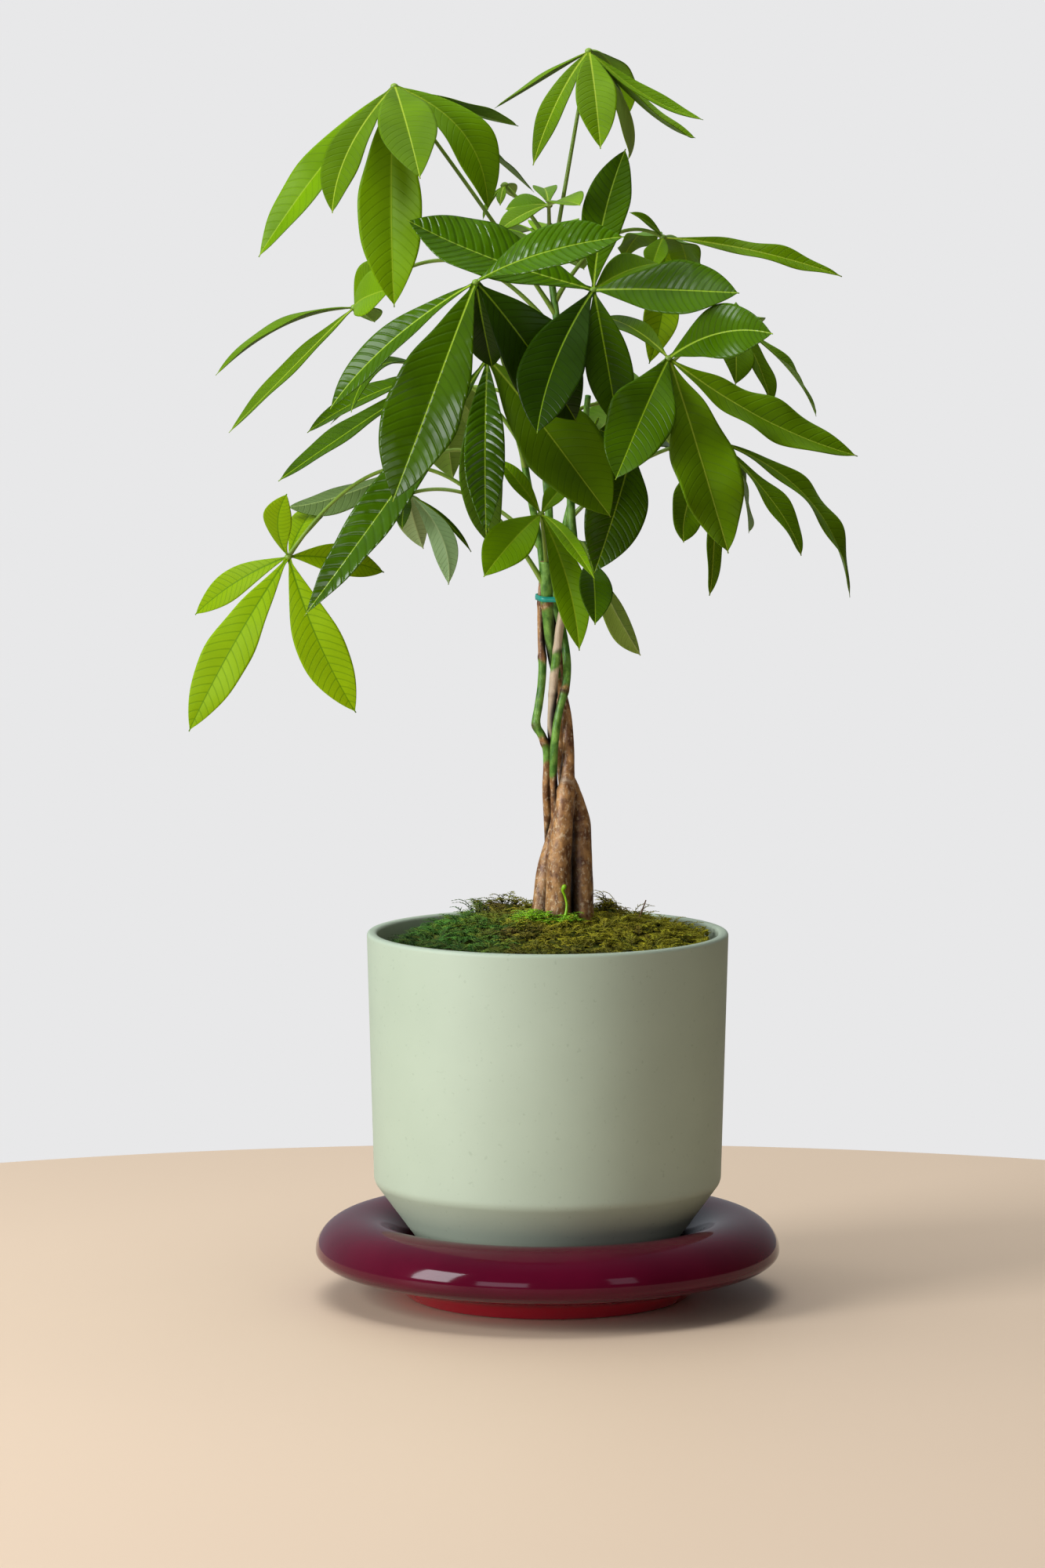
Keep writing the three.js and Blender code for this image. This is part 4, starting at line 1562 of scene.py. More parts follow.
STEMS = (
    Stem(
        "stem_front",
        [
            (711, 1280, 8, 5.8), (712, 1165, 8.5, 6.3), (713, 1100, 9, 5.9), (718, 1048, 9, 5.2),
            (722, 1010, 6.5, 4.3), (724, 985, 4, 3.6), (725, 955, 1.5, 2.9),
            (724, 925, -1.5, 2.5), (720, 897, -3.2, 2.3), (712, 868, -3.5, 2.2),
            (705, 840, -1.5, 2.3), (701, 810, 1, 2.6), (698, 770, 4, 2.9), (697, 716, 5, 3.5),
        ],
        ((862, 773), (766, 600)), (1008, 770), dried=(1001, 999), pruned=True,
    ),
    Stem(
        "stem_right",
        [
            (743, 1280, 2, 5.3), (743, 1165, 3, 5.7), (742, 1100, 2, 5.3), (741, 1050, -1, 4.6),
            (733, 1010, -4, 3.0), (722, 985, -7, 2.6), (709, 960, -6, 2.3), (704, 938, 1, 2.1),
            (704, 910, 4.5, 2.1), (706, 870, 5.5, 2.1), (710, 835, 6, 2.1), (714, 800, 6, 2.1),
            (721, 768, 6, 2.1), (729, 735, 6, 2.1), (732, 700, 5, 2.1), (729, 660, 3, 2.1),
            (727, 600, 0, 2.0), (722, 520, -2, 2.0), (714, 440, -3, 1.9), (702, 340, -4, 1.7),
            (701, 285, -2, 1.4),
        ],
        ((852, 830), (720, 200)), (885, 829), dried=(948, 772),
    ),
    Stem(
        "stem_left",
        [
            (691, 1280, -2, 4.8), (692, 1165, -2, 5.0), (696, 1110, -3.5, 4.2),
            (703, 1075, -5, 3.3), (709, 1045, -1, 2.5), (707, 1010, 2, 2.0), (706, 985, 5, 2.0),
            (707, 955, 7.2, 2.0), (710, 925, 8, 2.0), (715, 900, 7, 2.0), (722, 873, 4.5, 2.0),
            (723, 842, -0.5, 2.0), (719, 812, -3.5, 2.0), (712, 785, -4.5, 2.0),
            (708, 763, -4.5, 2.0), (712, 720, -4, 2.0), (722, 670, -8, 1.9), (733, 620, -9, 1.8),
            (744, 560, -4, 1.7), (750, 505, 4, 1.5),
        ],
        ((986, 884), (878, 100)), (881,),
    ),
    Stem(
        "stem_back_left",
        [
            (704, 1280, -14, 4.3), (704, 1165, -14, 4.5), (704, 1110, -13, 3.8),
            (702, 1075, -12, 2.9), (699, 1042, -7, 2.2), (697, 1010, -3.2, 2.0),
            (698, 980, -0.8, 2.0), (697, 955, 1, 2.0), (691, 938, 2.5, 2.0), (684, 924, 3, 2.0),
            (687, 900, 2, 2.0), (691, 870, 1, 2.0), (692, 840, 0.3, 2.0), (690, 810, -2, 1.7),
            (690, 765, -2.5, 1.7), (692, 730, -5.5, 1.7), (688, 690, -6, 1.7),
            (678, 640, -2, 1.8), (669, 590, 2, 1.8), (664, 535, 6, 1.5),
        ],
        ((974, 952), (942, 842), (740, 300)), (947, 924, 838, 770),
    ),
    Stem(
        "stem_back_right",
        [
            (731, 1280, -11, 4.4), (731, 1165, -11, 4.6), (729, 1110, -12, 3.8),
            (724, 1062, -13, 3.0), (720, 1008, -13.5, 2.6), (716, 972, -13.5, 2.4),
            (714, 930, -12, 2.4), (713, 885, -11, 2.3), (715, 845, -9, 2.2),
            (710, 805, -8.5, 2.1), (699, 765, -7.5, 2.1), (702, 715, -12, 2.1),
            (700, 650, -20, 2.0), (694, 580, -26, 1.9), (690, 515, -30, 1.6),
        ],
        ((770, 300),), (900,),
    ),
)


def height_of(down: float) -> float:
    """The height in mm, at the pot's axis, of a line that is `down` units down the view."""
    return float(VIEW.seen(VIEW.width / 2, down, 0.0)[2])


@dataclass
class Stems:
    """The five braided stems.

    Attributes:
        spacing: The distance between a stem's rings, in mm.
        sides: How many points each ring has.
        lump: How high the slow lumps are, as a share of the radius.
        ridges: How high the two sets of fine ridges are, as shares of the radius.
        scar_swell: How far a scar's collar stands out, as a share of the radius.
        scar_reach: How far the collar reaches up and down, in mm.
        scar_mark: How far its dark line reaches up and down, in mm.
        foot_swell: How far the foot's lobes stand out, as a share of the radius.
        foot_height: How far up the foot the lobes keep their full size, in mm.
        foot_fade: The length over which they then fade, in mm.
        ragged: How far the ends of the green and the dried lengths wander, in mm.
        dried_most: How pale dried bark is, from 0 to 1.
        crease_start: How near another stem the painted crease shade is darkest, in mm.
        crease_reach: How much further than the stem's radius it still shows, in mm.
        crease_most: How dark the painted shade is, from 0 to 1.
        routes: The route of each stem, once they are built.
    """

    spacing: float = 1.0
    sides: int = 28
    lump: float = 0.035
    ridges: Point = (0.02, 0.015)
    scar_swell: float = 0.2
    scar_reach: float = 1.8
    scar_mark: float = 1.2
    foot_swell: float = 0.06
    foot_height: float = 40.0
    foot_fade: float = 14.0
    ragged: float = 1.6
    dried_most: float = 0.8
    crease_start: float = 1.0
    crease_reach: float = 1.5
    crease_most: float = 0.97
    routes: dict[str, Route] = field(default_factory=dict)

    def build(self) -> None:
        """Makes each stem in its node's place."""
        bark, wood = Bark().build(), CutWood().build()
        for stem in STEMS:
            self.routes[stem.node] = Route.through(stem.stations, self.spacing)
        for number, stem in enumerate(STEMS):
            rings, marks = self.shape(stem, self.routes[stem.node], number)
            mesh = Draft()
            mesh.loft(rings, 0, bark=marks, crease=self.crease(stem, rings))
            if stem.pruned:
                mesh.slots[-1] = 1
            dress(mesh.piece(f"{stem.node}_bark", [bark, wood]), "bark", stem.node)

    def crease(self, stem: Stem, rings: np.ndarray) -> np.ndarray:
        """Marks where a stem lies close to another one, for the shade painted into the crease.

        Args:
            stem: The stem.
            rings: Its points, as [ring, corner, xyz].

        Returns:
            How much painted shade each point gets from a nearby stem, from 0 to 1.
        """
        closest = np.full(rings.shape[:2], 99.0)
        for node, other in self.routes.items():
            if node == stem.node:
                continue
            for place, radius in zip(other.line, other.radii):
                away = np.linalg.norm(rings - place, axis=-1) - radius
                closest = np.minimum(closest, away)
        width = self.routes[stem.node].radii[:, None] + self.crease_reach
        return self.crease_most * (1 - smooth(closest, self.crease_start, width))[..., None]

    def shape(self, stem: Stem, route: Route, number: int) -> tuple[np.ndarray, np.ndarray]:
        """The stem's rings and their marks.

        Args:
            stem: The stem.
            route: Its route.
            number: Its number, which sets where its lumps are.

        Returns:
            The points as [ring, corner, xyz] and [green, scar, dried] at each point.
        """
        heights = route.line[:, 2]
        angles = np.linspace(0, 2 * math.pi, self.sides, endpoint=False)
        turn = angles[None] + 1.7 * number
        z = heights[:, None]
        # Slow lumps, then fine ridges.
        swell = 1 + self.lump * np.sin(2 * turn + z / 9) * np.sin(z / 14 + number)
        first, second = self.ridges
        swell += first * np.sin(5 * turn + z / 4.3) + second * np.sin(3 * turn - z / 2.6)
        # Each old leaf scar is a collar with a dark line, stronger on one side.
        scar = np.zeros_like(swell)
        for down in stem.scars:
            away = z - height_of(down)
            collar = np.exp(-((away / self.scar_reach) ** 2))
            swell += self.scar_swell * collar * (0.75 + 0.25 * np.sin(turn))
            dark = np.exp(-((away / self.scar_mark) ** 2))
            scar = np.maximum(scar, dark * (0.55 + 0.45 * np.sin(turn)))
        # The foot spreads in three lobes.
        above = np.maximum(0, heights - heights[0] - self.foot_height)
        foot = np.exp(-above / self.foot_fade)[:, None]
        swell += self.foot_swell * foot * (1 + np.sin(3 * turn))
        level = z + self.ragged * np.sin(turn + z / 20)
        green, dried = np.zeros_like(swell), self.band(level, *stem.dried)
        for length in stem.greens:
            green = np.maximum(green, self.band(level, *length))
        marks = np.stack([green, scar, self.dried_most * dried], axis=-1)
        return route.rings(self.sides, swell), marks

    def band(self, level: np.ndarray, low: float, high: float) -> np.ndarray:
        """Marks the heights between two lines of the view.

        Args:
            level: The heights, in mm.
            low: The lower line, in view units down.
            high: The upper line, in view units down.

        Returns:
            1 between the lines and 0 beyond them, with soft ends.
        """
        start, end = height_of(low), height_of(high)
        return smooth(level, start - 1, start + 1.5) * (1 - smooth(level, end - 1, end + 1.5))


@dataclass
class Tie:
    """A flat plastic tie round all the stems, a little higher at the back than in front.

    Attributes:
        height: The height of its middle, in mm.
        band: How wide it is, in mm.
        thickness: How thick it is, in mm.
        slack: How far it stands off the stems, in mm.
        lean: How much higher than its middle the back is, in mm.
        section: Its corners, as shares of its thickness outward and of half its width upward.
        steps: How many points go round.
    """

    height: float = 349.5
    band: float = 2.6
    thickness: float = 0.8
    slack: float = 0.3
    lean: float = 0.5
    section: tuple[Point, ...] = ((0, -1), (1, -1), (1.25, 0), (1, 1), (0, 1))
    steps: int = 96

    def build(self, routes: dict[str, Route]) -> None:
        """Makes the tie round the stems' own outline at its height.

        Args:
            routes: The route of each stem.
        """
        circles = []
        for route in routes.values():
            i = int(np.argmin(np.abs(route.line[:, 2] - self.height)))
            circles.append((route.line[i], route.radii[i]))
        angles = np.linspace(0, 2 * math.pi, self.steps, endpoint=False)
        loop, outward = [], []
        for angle in angles:
            way = np.array([math.cos(angle), math.sin(angle), 0.0])
            middle, radius = max(circles, key=lambda c: c[0] @ way + c[1])
            loop.append(middle * [1, 1, 0] + way * (radius + self.slack))
            outward.append(way)
        loop, outward = np.array(loop), np.array(outward)
        rings = []
        for i in range(self.steps):
            tilt = self.lean * math.sin(angles[i])
            rings.append([
                loop[i] + outward[i] * side * self.thickness
                + np.array([0, 0, self.height + tilt + up * self.band / 2])
                for side, up in self.section
            ])
        grid = np.array(rings)
        steps, sides = grid.shape[:2]
        faces = []
        for r in range(steps):
            for c in range(sides):
                a, b = r * sides + c, r * sides + (c + 1) % sides
                after = ((r + 1) % steps - r) * sides
                faces.append((a, a + after, b + after, b))
        mesh = Draft()
        mesh.add(grid.reshape(-1, 3), faces)
        dress(mesh.piece("tie_band", [TiePlastic().build()]), "tie", "tie")


# ---- Leaves ----


class Tone(Enum):
    """How old and how glossy a leaflet is, and how much light or shade is painted into its colour."""

    DEEP = "deep"
    DARK = "dark"
    OLIVE = "olive"
    MID = "mid"
    LIME = "lime"
    YOUNG = "young"
    WAXY = "waxy"
    SATIN = "satin"
    SHINY = "shiny"


# Part of each tone is the leaflet's own age and gloss, and part is painted light and shade: DEEP is
# darkened for leaflets that hang in shade, and MID and LIME are lightened, with LIME's veins darker,
# for leaflets lit through from behind.
SKINS = {
    Tone.DEEP: LeafSkin("leaf_deep", 0.3, 1.42, 0.18, "#162800", "#2A4600", "#6E8A16", "#142200",
                        pillow=0.09, vein_share=0.4),
    Tone.DARK: LeafSkin("leaf_dark", 0.3, 1.42, 0.16, "#304A00", "#4A6E00", "#7E9A1A",
                        "#2A4200", pillow=0.11, vein_share=0.4),
    Tone.OLIVE: LeafSkin("leaf_olive", 0.36, 1.42, 0.15, "#486600", "#628400", "#90A42A",
                         "#44600A", pillow=0.09, vein_share=0.3),
    Tone.MID: LeafSkin("leaf_mid", 0.42, 1.42, 0.12, "#567C00", "#729800", "#86A21C", "#507400",
                       pillow=0.09, vein_share=0.35),
    Tone.LIME: LeafSkin("leaf_lime", 0.5, 1.42, 0.1, "#749400", "#86A600", "#5A7E00",
                        "#527600", pillow=0.06, vein_share=0.6),
    Tone.YOUNG: LeafSkin("leaf_young", 0.4, 1.42, 0.2, "#567E0A", "#789C1A", "#98B036",
                         "#6E921A", pillow=0.1),
    Tone.WAXY: LeafSkin("leaf_waxy", 0.24, 1.42, 0.22, "#365600", "#4E7400", "#90AC30",
                        "#2A4400", pillow=0.2, groove=0.7, ripple=2.4, vein_share=0.4),
    Tone.SATIN: LeafSkin("leaf_satin", 0.22, 1.42, 0.22, "#2C4400", "#446600", "#86A028",
                         "#283E00", pillow=0.2, groove=0.7, ripple=2.4, vein_share=0.4),
    Tone.SHINY: LeafSkin("leaf_shiny", 0.18, 1.42, 0.45, "#2C4800", "#466C02", "#86A028",
                         "#243A00", pillow=0.34, groove=0.9, ripple=2.8, vein_share=0.4),
}
# Undersides are paler than upper sides. DARK's is painted lighter still, and MID's a yellow green, as
# light falling on them and through them would make them.
UNDERSIDES = {
    Tone.DEEP: LeafSkin("underside_deep", 0.5, 1.45, 0.3, "#4E6E34", "#688A4C", "#8AA060",
                        "#48683A", pillow=0.12),
    Tone.DARK: LeafSkin("underside_dark", 0.5, 1.45, 0.3, "#88A86A", "#A4C286", "#B4CA8C",
                        "#6C8E52", pillow=0.12),
    Tone.OLIVE: LeafSkin("underside_olive", 0.5, 1.45, 0.2, "#586E36", "#6C8446", "#8CA05A",
                         "#4C6432", pillow=0.12),
    Tone.MID: LeafSkin("underside_mid", 0.5, 1.45, 0.3, "#5C8420", "#7CA034", "#98B450",
                       "#5C8420", pillow=0.1),
    Tone.LIME: LeafSkin("underside_lime", 0.5, 1.45, 0.3, "#86A83A", "#A3C054", "#C0D478",
                        "#86A83A", pillow=0.08),
    Tone.YOUNG: LeafSkin("underside_young", 0.5, 1.45, 0.3, "#7CA03E", "#9CBA5E", "#BCCE7C",
                         "#86A84A", pillow=0.12),
}
UNDERSIDES |= {tone: UNDERSIDES[Tone.DARK] for tone in (Tone.WAXY, Tone.SATIN, Tone.SHINY)}


@dataclass(frozen=True)
class Leaf:
    """One palmate leaf.

    Attributes:
        node: The node it stands for.
        stem: The stem it grows from.
        start: How far down the view its stalk starts.
        hub: [across, down, forward] where the leaflets meet.
        rise: How high the stalk arches, in mm.
        up: Which way the upper side looks.
        tone: Its tone.
        leaflets: [across, down, forward] of each tip, full width, roll in degrees and, where
            the midrib doesn't just arch, the (across, down) that it passes half way along.
        wave: How deep the margins wave, as a share of half the width.
        fold: How far its blades fold at the midrib, as a share of half the width.
        turned: The numbers of the leaflets that show their undersides.
        other: The tone of each leaflet that has another tone, by its number.
    """

    node: str
    stem: str
    start: float
    hub: Point
    rise: float
    up: Point
    tone: Tone
    leaflets: tuple[tuple, ...]
    wave: float = 0.05
    fold: float = 0.26
    turned: tuple[int, ...] = ()
    other: dict[int, Tone] = field(default_factory=dict)


LEAVES = (
    Leaf(
        "leaf_crown_left", "stem_right", 402, (503, 110, 20), 2, (-0.1, -0.5, 0.85), Tone.MID,
        (
            (330, 328, 25, 21, -12, (407, 214)), (424, 272, 62, 20, 0, (444, 190)),
            (503, 392, 30, 32, 0), (536, 228, 88, 28, 0), (622, 268, 40, 25, 0, (594, 171)),
            (681, 245, -48, 20, 0, (599, 171)), (661, 161, -48, 14, -25, (587, 136)),
        ),
        other={1: Tone.OLIVE, 3: Tone.OLIVE, 5: Tone.OLIVE},
    ),
    Leaf(
        "leaf_crown_right", "stem_right", 345, (751, 65, 10), 0, (0, -0.35, 0.94), Tone.OLIVE,
        (
            (631, 138, 15, 13, 20, (693, 98)), (680, 211, 42, 13, 0, (710, 129)),
            (766, 190, 58, 20, 0), (897, 153, 20, 13, 0, (822, 119)),
            (887, 176, -22, 22, 0, (829, 139)), (801, 204, -6, 23, 0, (799, 144)),
            (800, 150, -84, 22, 0),
        ),
        turned=(5, 6), other={3: Tone.MID, 4: Tone.MID, 5: Tone.LIME, 6: Tone.MID},
    ),
    Leaf(
        "leaf_young_tip", "stem_right", 302, (700, 262, 20), 0, (0, -0.5, 0.86), Tone.YOUNG,
        (
            (645, 267, 18, 14, -15), (634, 296, 34, 12, 0), (740, 262, 50, 18, 0),
            (692, 242, -26, 12, 0),
        ),
    ),
    Leaf(
        "leaf_new_shoot", "stem_right", 312, (644, 236, -6), 2, (-0.2, -0.3, 0.9), Tone.YOUNG,
        ((638, 262, 4, 5, 0), (616, 280, -10, 8, 0), (655, 252, -34, 8, 0)),
    ),
    Leaf(
        "leaf_left_high", "stem_right", 432, (452, 392, -12), 30, (-0.35, -0.35, 0.87), Tone.OLIVE,
        (
            (275, 479, -8, 17, 12, (358, 414)), (292, 552, 22, 15, 0, (376, 464)),
            (501, 334, 6, 20, 55), (500, 368, 30, 23, 45), (478, 411, -24, 17, 0),
        ),
        other={2: Tone.MID, 3: Tone.MID, 4: Tone.MID},
    ),
    Leaf(
        "leaf_front_left", "stem_back_left", 545, (607, 360, 84), 4, (-0.15, -0.75, 0.65),
        Tone.DARK,
        (
            (797, 302, 112, 27, 0, (692, 320)), (501, 640, 112, 40, 0, (551, 500)),
            (421, 522, 66, 17, 0, (497, 435)), (735, 538, 66, 38, 0, (680, 448)),
            (628, 468, 58, 18, 0),
        ),
        other={0: Tone.SHINY, 1: Tone.SATIN, 2: Tone.WAXY, 3: Tone.DEEP, 4: Tone.DEEP},
    ),
    Leaf(
        "leaf_front_mid", "stem_right", 505, (757, 370, 60), 6, (0.05, -0.7, 0.72), Tone.DARK,
        (
            (519, 281, 46, 35, 0, (633, 328)), (798, 190, 10, 22, 0, (770, 278)),
            (943, 374, 98, 28, 25, (852, 368)), (685, 553, 112, 31, 0, (708, 460)),
            (789, 548, 84, 23, 0, (774, 456)), (838, 336, 24, 20, 0),
        ),
        other={0: Tone.SHINY, 1: Tone.SATIN, 2: Tone.WAXY, 3: Tone.DEEP, 5: Tone.MID},
    ),
    Leaf(
        "leaf_centre", "stem_back_left", 600, (622, 457, 44), 5, (-0.1, -0.7, 0.7), Tone.DARK,
        (
            (620, 682, 84, 20, 0), (779, 660, 72, 40, 0, (707, 559)),
            (629, 699, 24, 21, 0, (613, 592)), (388, 786, 78, 23, 0, (506, 621)),
        ),
        other={0: Tone.SHINY, 1: Tone.OLIVE, 3: Tone.SHINY},
    ),
    Leaf(
        "leaf_left_mid", "stem_back_left", 570, (560, 478, 8), 8, (-0.4, -0.5, 0.77), Tone.DARK,
        (
            (448, 526, 40, 15, 0, (486, 464)), (392, 552, 6, 15, 0, (470, 503)),
            (422, 541, -34, 11, 0), (355, 614, 34, 16, 0, (453, 543)),
        ),
    ),
    Leaf(
        "leaf_left_low", "stem_back_left", 640, (546, 584, -8), 12, (-0.4, -0.65, 0.65),
        Tone.OLIVE,
        (
            (459, 676, 20, 21, 0, (502, 620)), (367, 647, 4, 18, 0, (444, 632)),
            (500, 640, -50, 18, 0),
        ),
        turned=(1,), other={0: Tone.DARK},
    ),
    Leaf(
        "leaf_bright_low", "stem_front", 752, (368, 710, 34), 52, (-0.2, -0.92, 0.34), Tone.LIME,
        (
            (241, 933, 46, 24, 0, (298, 821)), (454, 909, 40, 24, 0, (405, 816)),
            (249, 784, 8, 15, 0, (303, 741)), (366, 630, 66, 15, 0, (354, 670)),
            (411, 645, -22, 15, 0), (490, 730, 14, 16, 0, (430, 713)),
        ),
        fold=0.1,
    ),
    Leaf(
        "leaf_low_shade", "stem_back_left", 700, (521, 630, -34), 12, (-0.3, -0.5, 0.8),
        Tone.DARK,
        (
            (572, 746, -14, 13, 0, (563, 684)), (513, 675, -8, 9, 0), (540, 700, -84, 16, 0),
            (601, 704, -44, 4, 0),
        ),
        turned=(0,),
    ),
    Leaf(
        "leaf_trunk_front", "stem_front", 724, (690, 656, 30), 2, (0, -0.8, 0.6), Tone.MID,
        (
            (617, 736, 66, 23, 0), (739, 830, 44, 17, 0, (724, 740)), (636, 586, 24, 9, 0),
            (719, 620, 14, 10, 0), (758, 738, 88, 8, 0),
        ),
    ),
    Leaf(
        "leaf_trunk_right", "stem_right", 700, (752, 714, 30), 5, (0.25, -0.8, 0.55), Tone.DARK,
        ((759, 797, 74, 17, 0), (817, 836, 4, 15, 0, (784, 783)), (742, 690, 10, 9, 0)),
        turned=(1,), other={1: Tone.LIME},
    ),
    Leaf(
        "leaf_hanging", "stem_left", 650, (806, 572, 30), 8, (0.3, -0.8, 0.5), Tone.DARK,
        (
            (758, 731, 48, 30, 0, (789, 640)), (764, 548, 34, 16, 0), (846, 516, 36, 18, 0),
            (850, 566, -34, 16, 0),
        ),
        other={0: Tone.SATIN, 2: Tone.OLIVE},
    ),
    Leaf(
        "leaf_right", "stem_left", 600, (853, 457, 72), 6, (0.15, -0.72, 0.67), Tone.OLIVE,
        (
            (986, 426, 116, 26, 45, (918, 424)), (770, 405, 30, 13, 0),
            (1094, 582, 62, 24, 0, (970, 530)), (929, 706, 96, 33, 0, (895, 582)),
            (785, 612, 104, 32, 0),
        ),
        wave=0.14, other={0: Tone.WAXY, 4: Tone.DARK},
    ),
    Leaf(
        "leaf_right_back", "stem_left", 635, (932, 408, 14), 12, (0.4, -0.3, 0.85), Tone.MID,
        (
            (938, 491, 40, 17, 0), (984, 518, 22, 17, 0), (1041, 531, -14, 14, 0, (1007, 468)),
            (900, 440, -66, 20, 0), (958, 416, -44, 16, 0),
        ),
        wave=0.18, other={0: Tone.OLIVE, 1: Tone.OLIVE},
    ),
    Leaf(
        "leaf_right_low", "stem_left", 668, (912, 562, 28), 10, (0.5, -0.5, 0.7), Tone.OLIVE,
        (
            (1022, 709, 42, 16, 0, (988, 640)), (1084, 762, 8, 18, 0, (1037, 640)),
            (905, 760, 42, 10, 0, (912, 680)), (955, 680, -16, 17, 0),
            (872, 692, 62, 18, 0, (880, 636)),
        ),
        wave=0.18,
    ),
    Leaf(
        "leaf_right_high", "stem_right", 388, (846, 303, -14), 16, (0.1, -0.45, 0.88), Tone.MID,
        (
            (1074, 353, -2, 11, 20, (966, 320)), (828, 464, 10, 17, 0, (846, 386)),
            (803, 271, -10, 7, 0), (830, 346, 10, 12, 0), (878, 358, -92, 22, 0),
            (795, 330, -84, 18, 0),
        ),
        wave=0.2, turned=(4, 5), other={0: Tone.OLIVE, 1: Tone.LIME},
    ),
    Leaf(
        "leaf_back_top", "stem_right", 360, (700, 316, -66), 6, (0, 0.5, 0.86), Tone.MID,
        (
            (628, 318, -112, 24, 0), (655, 300, -146, 26, 0), (712, 296, -154, 26, 0),
            (772, 318, -134, 26, 0), (745, 344, -112, 22, 0),
        ),
    ),
    Leaf(
        "leaf_back_left", "stem_back_right", 540, (575, 500, -70), 8, (-0.4, 0.5, 0.75),
        Tone.MID,
        (
            (508, 520, -112, 24, 0), (530, 590, -128, 28, 0), (578, 612, -146, 28, 0),
            (625, 560, -138, 24, 0), (560, 455, -140, 24, 0),
        ),
    ),
    Leaf(
        "leaf_back_right", "stem_back_right", 560, (808, 520, -74), 8, (0.4, 0.5, 0.75),
        Tone.MID,
        (
            (872, 532, -118, 24, 0), (868, 590, -122, 28, 0), (795, 604, -146, 28, 0),
            (750, 565, -138, 24, 0), (822, 490, -150, 22, 0),
        ),
    ),
    Leaf(
        "leaf_back_mid", "stem_back_right", 620, (735, 590, -84), 10, (0, 0.6, 0.8), Tone.MID,
        (
            (712, 620, -118, 22, 0), (705, 530, -140, 24, 0), (762, 540, -108, 26, 0),
            (800, 600, -130, 26, 0), (770, 640, -138, 24, 0),
        ),
    ),
)


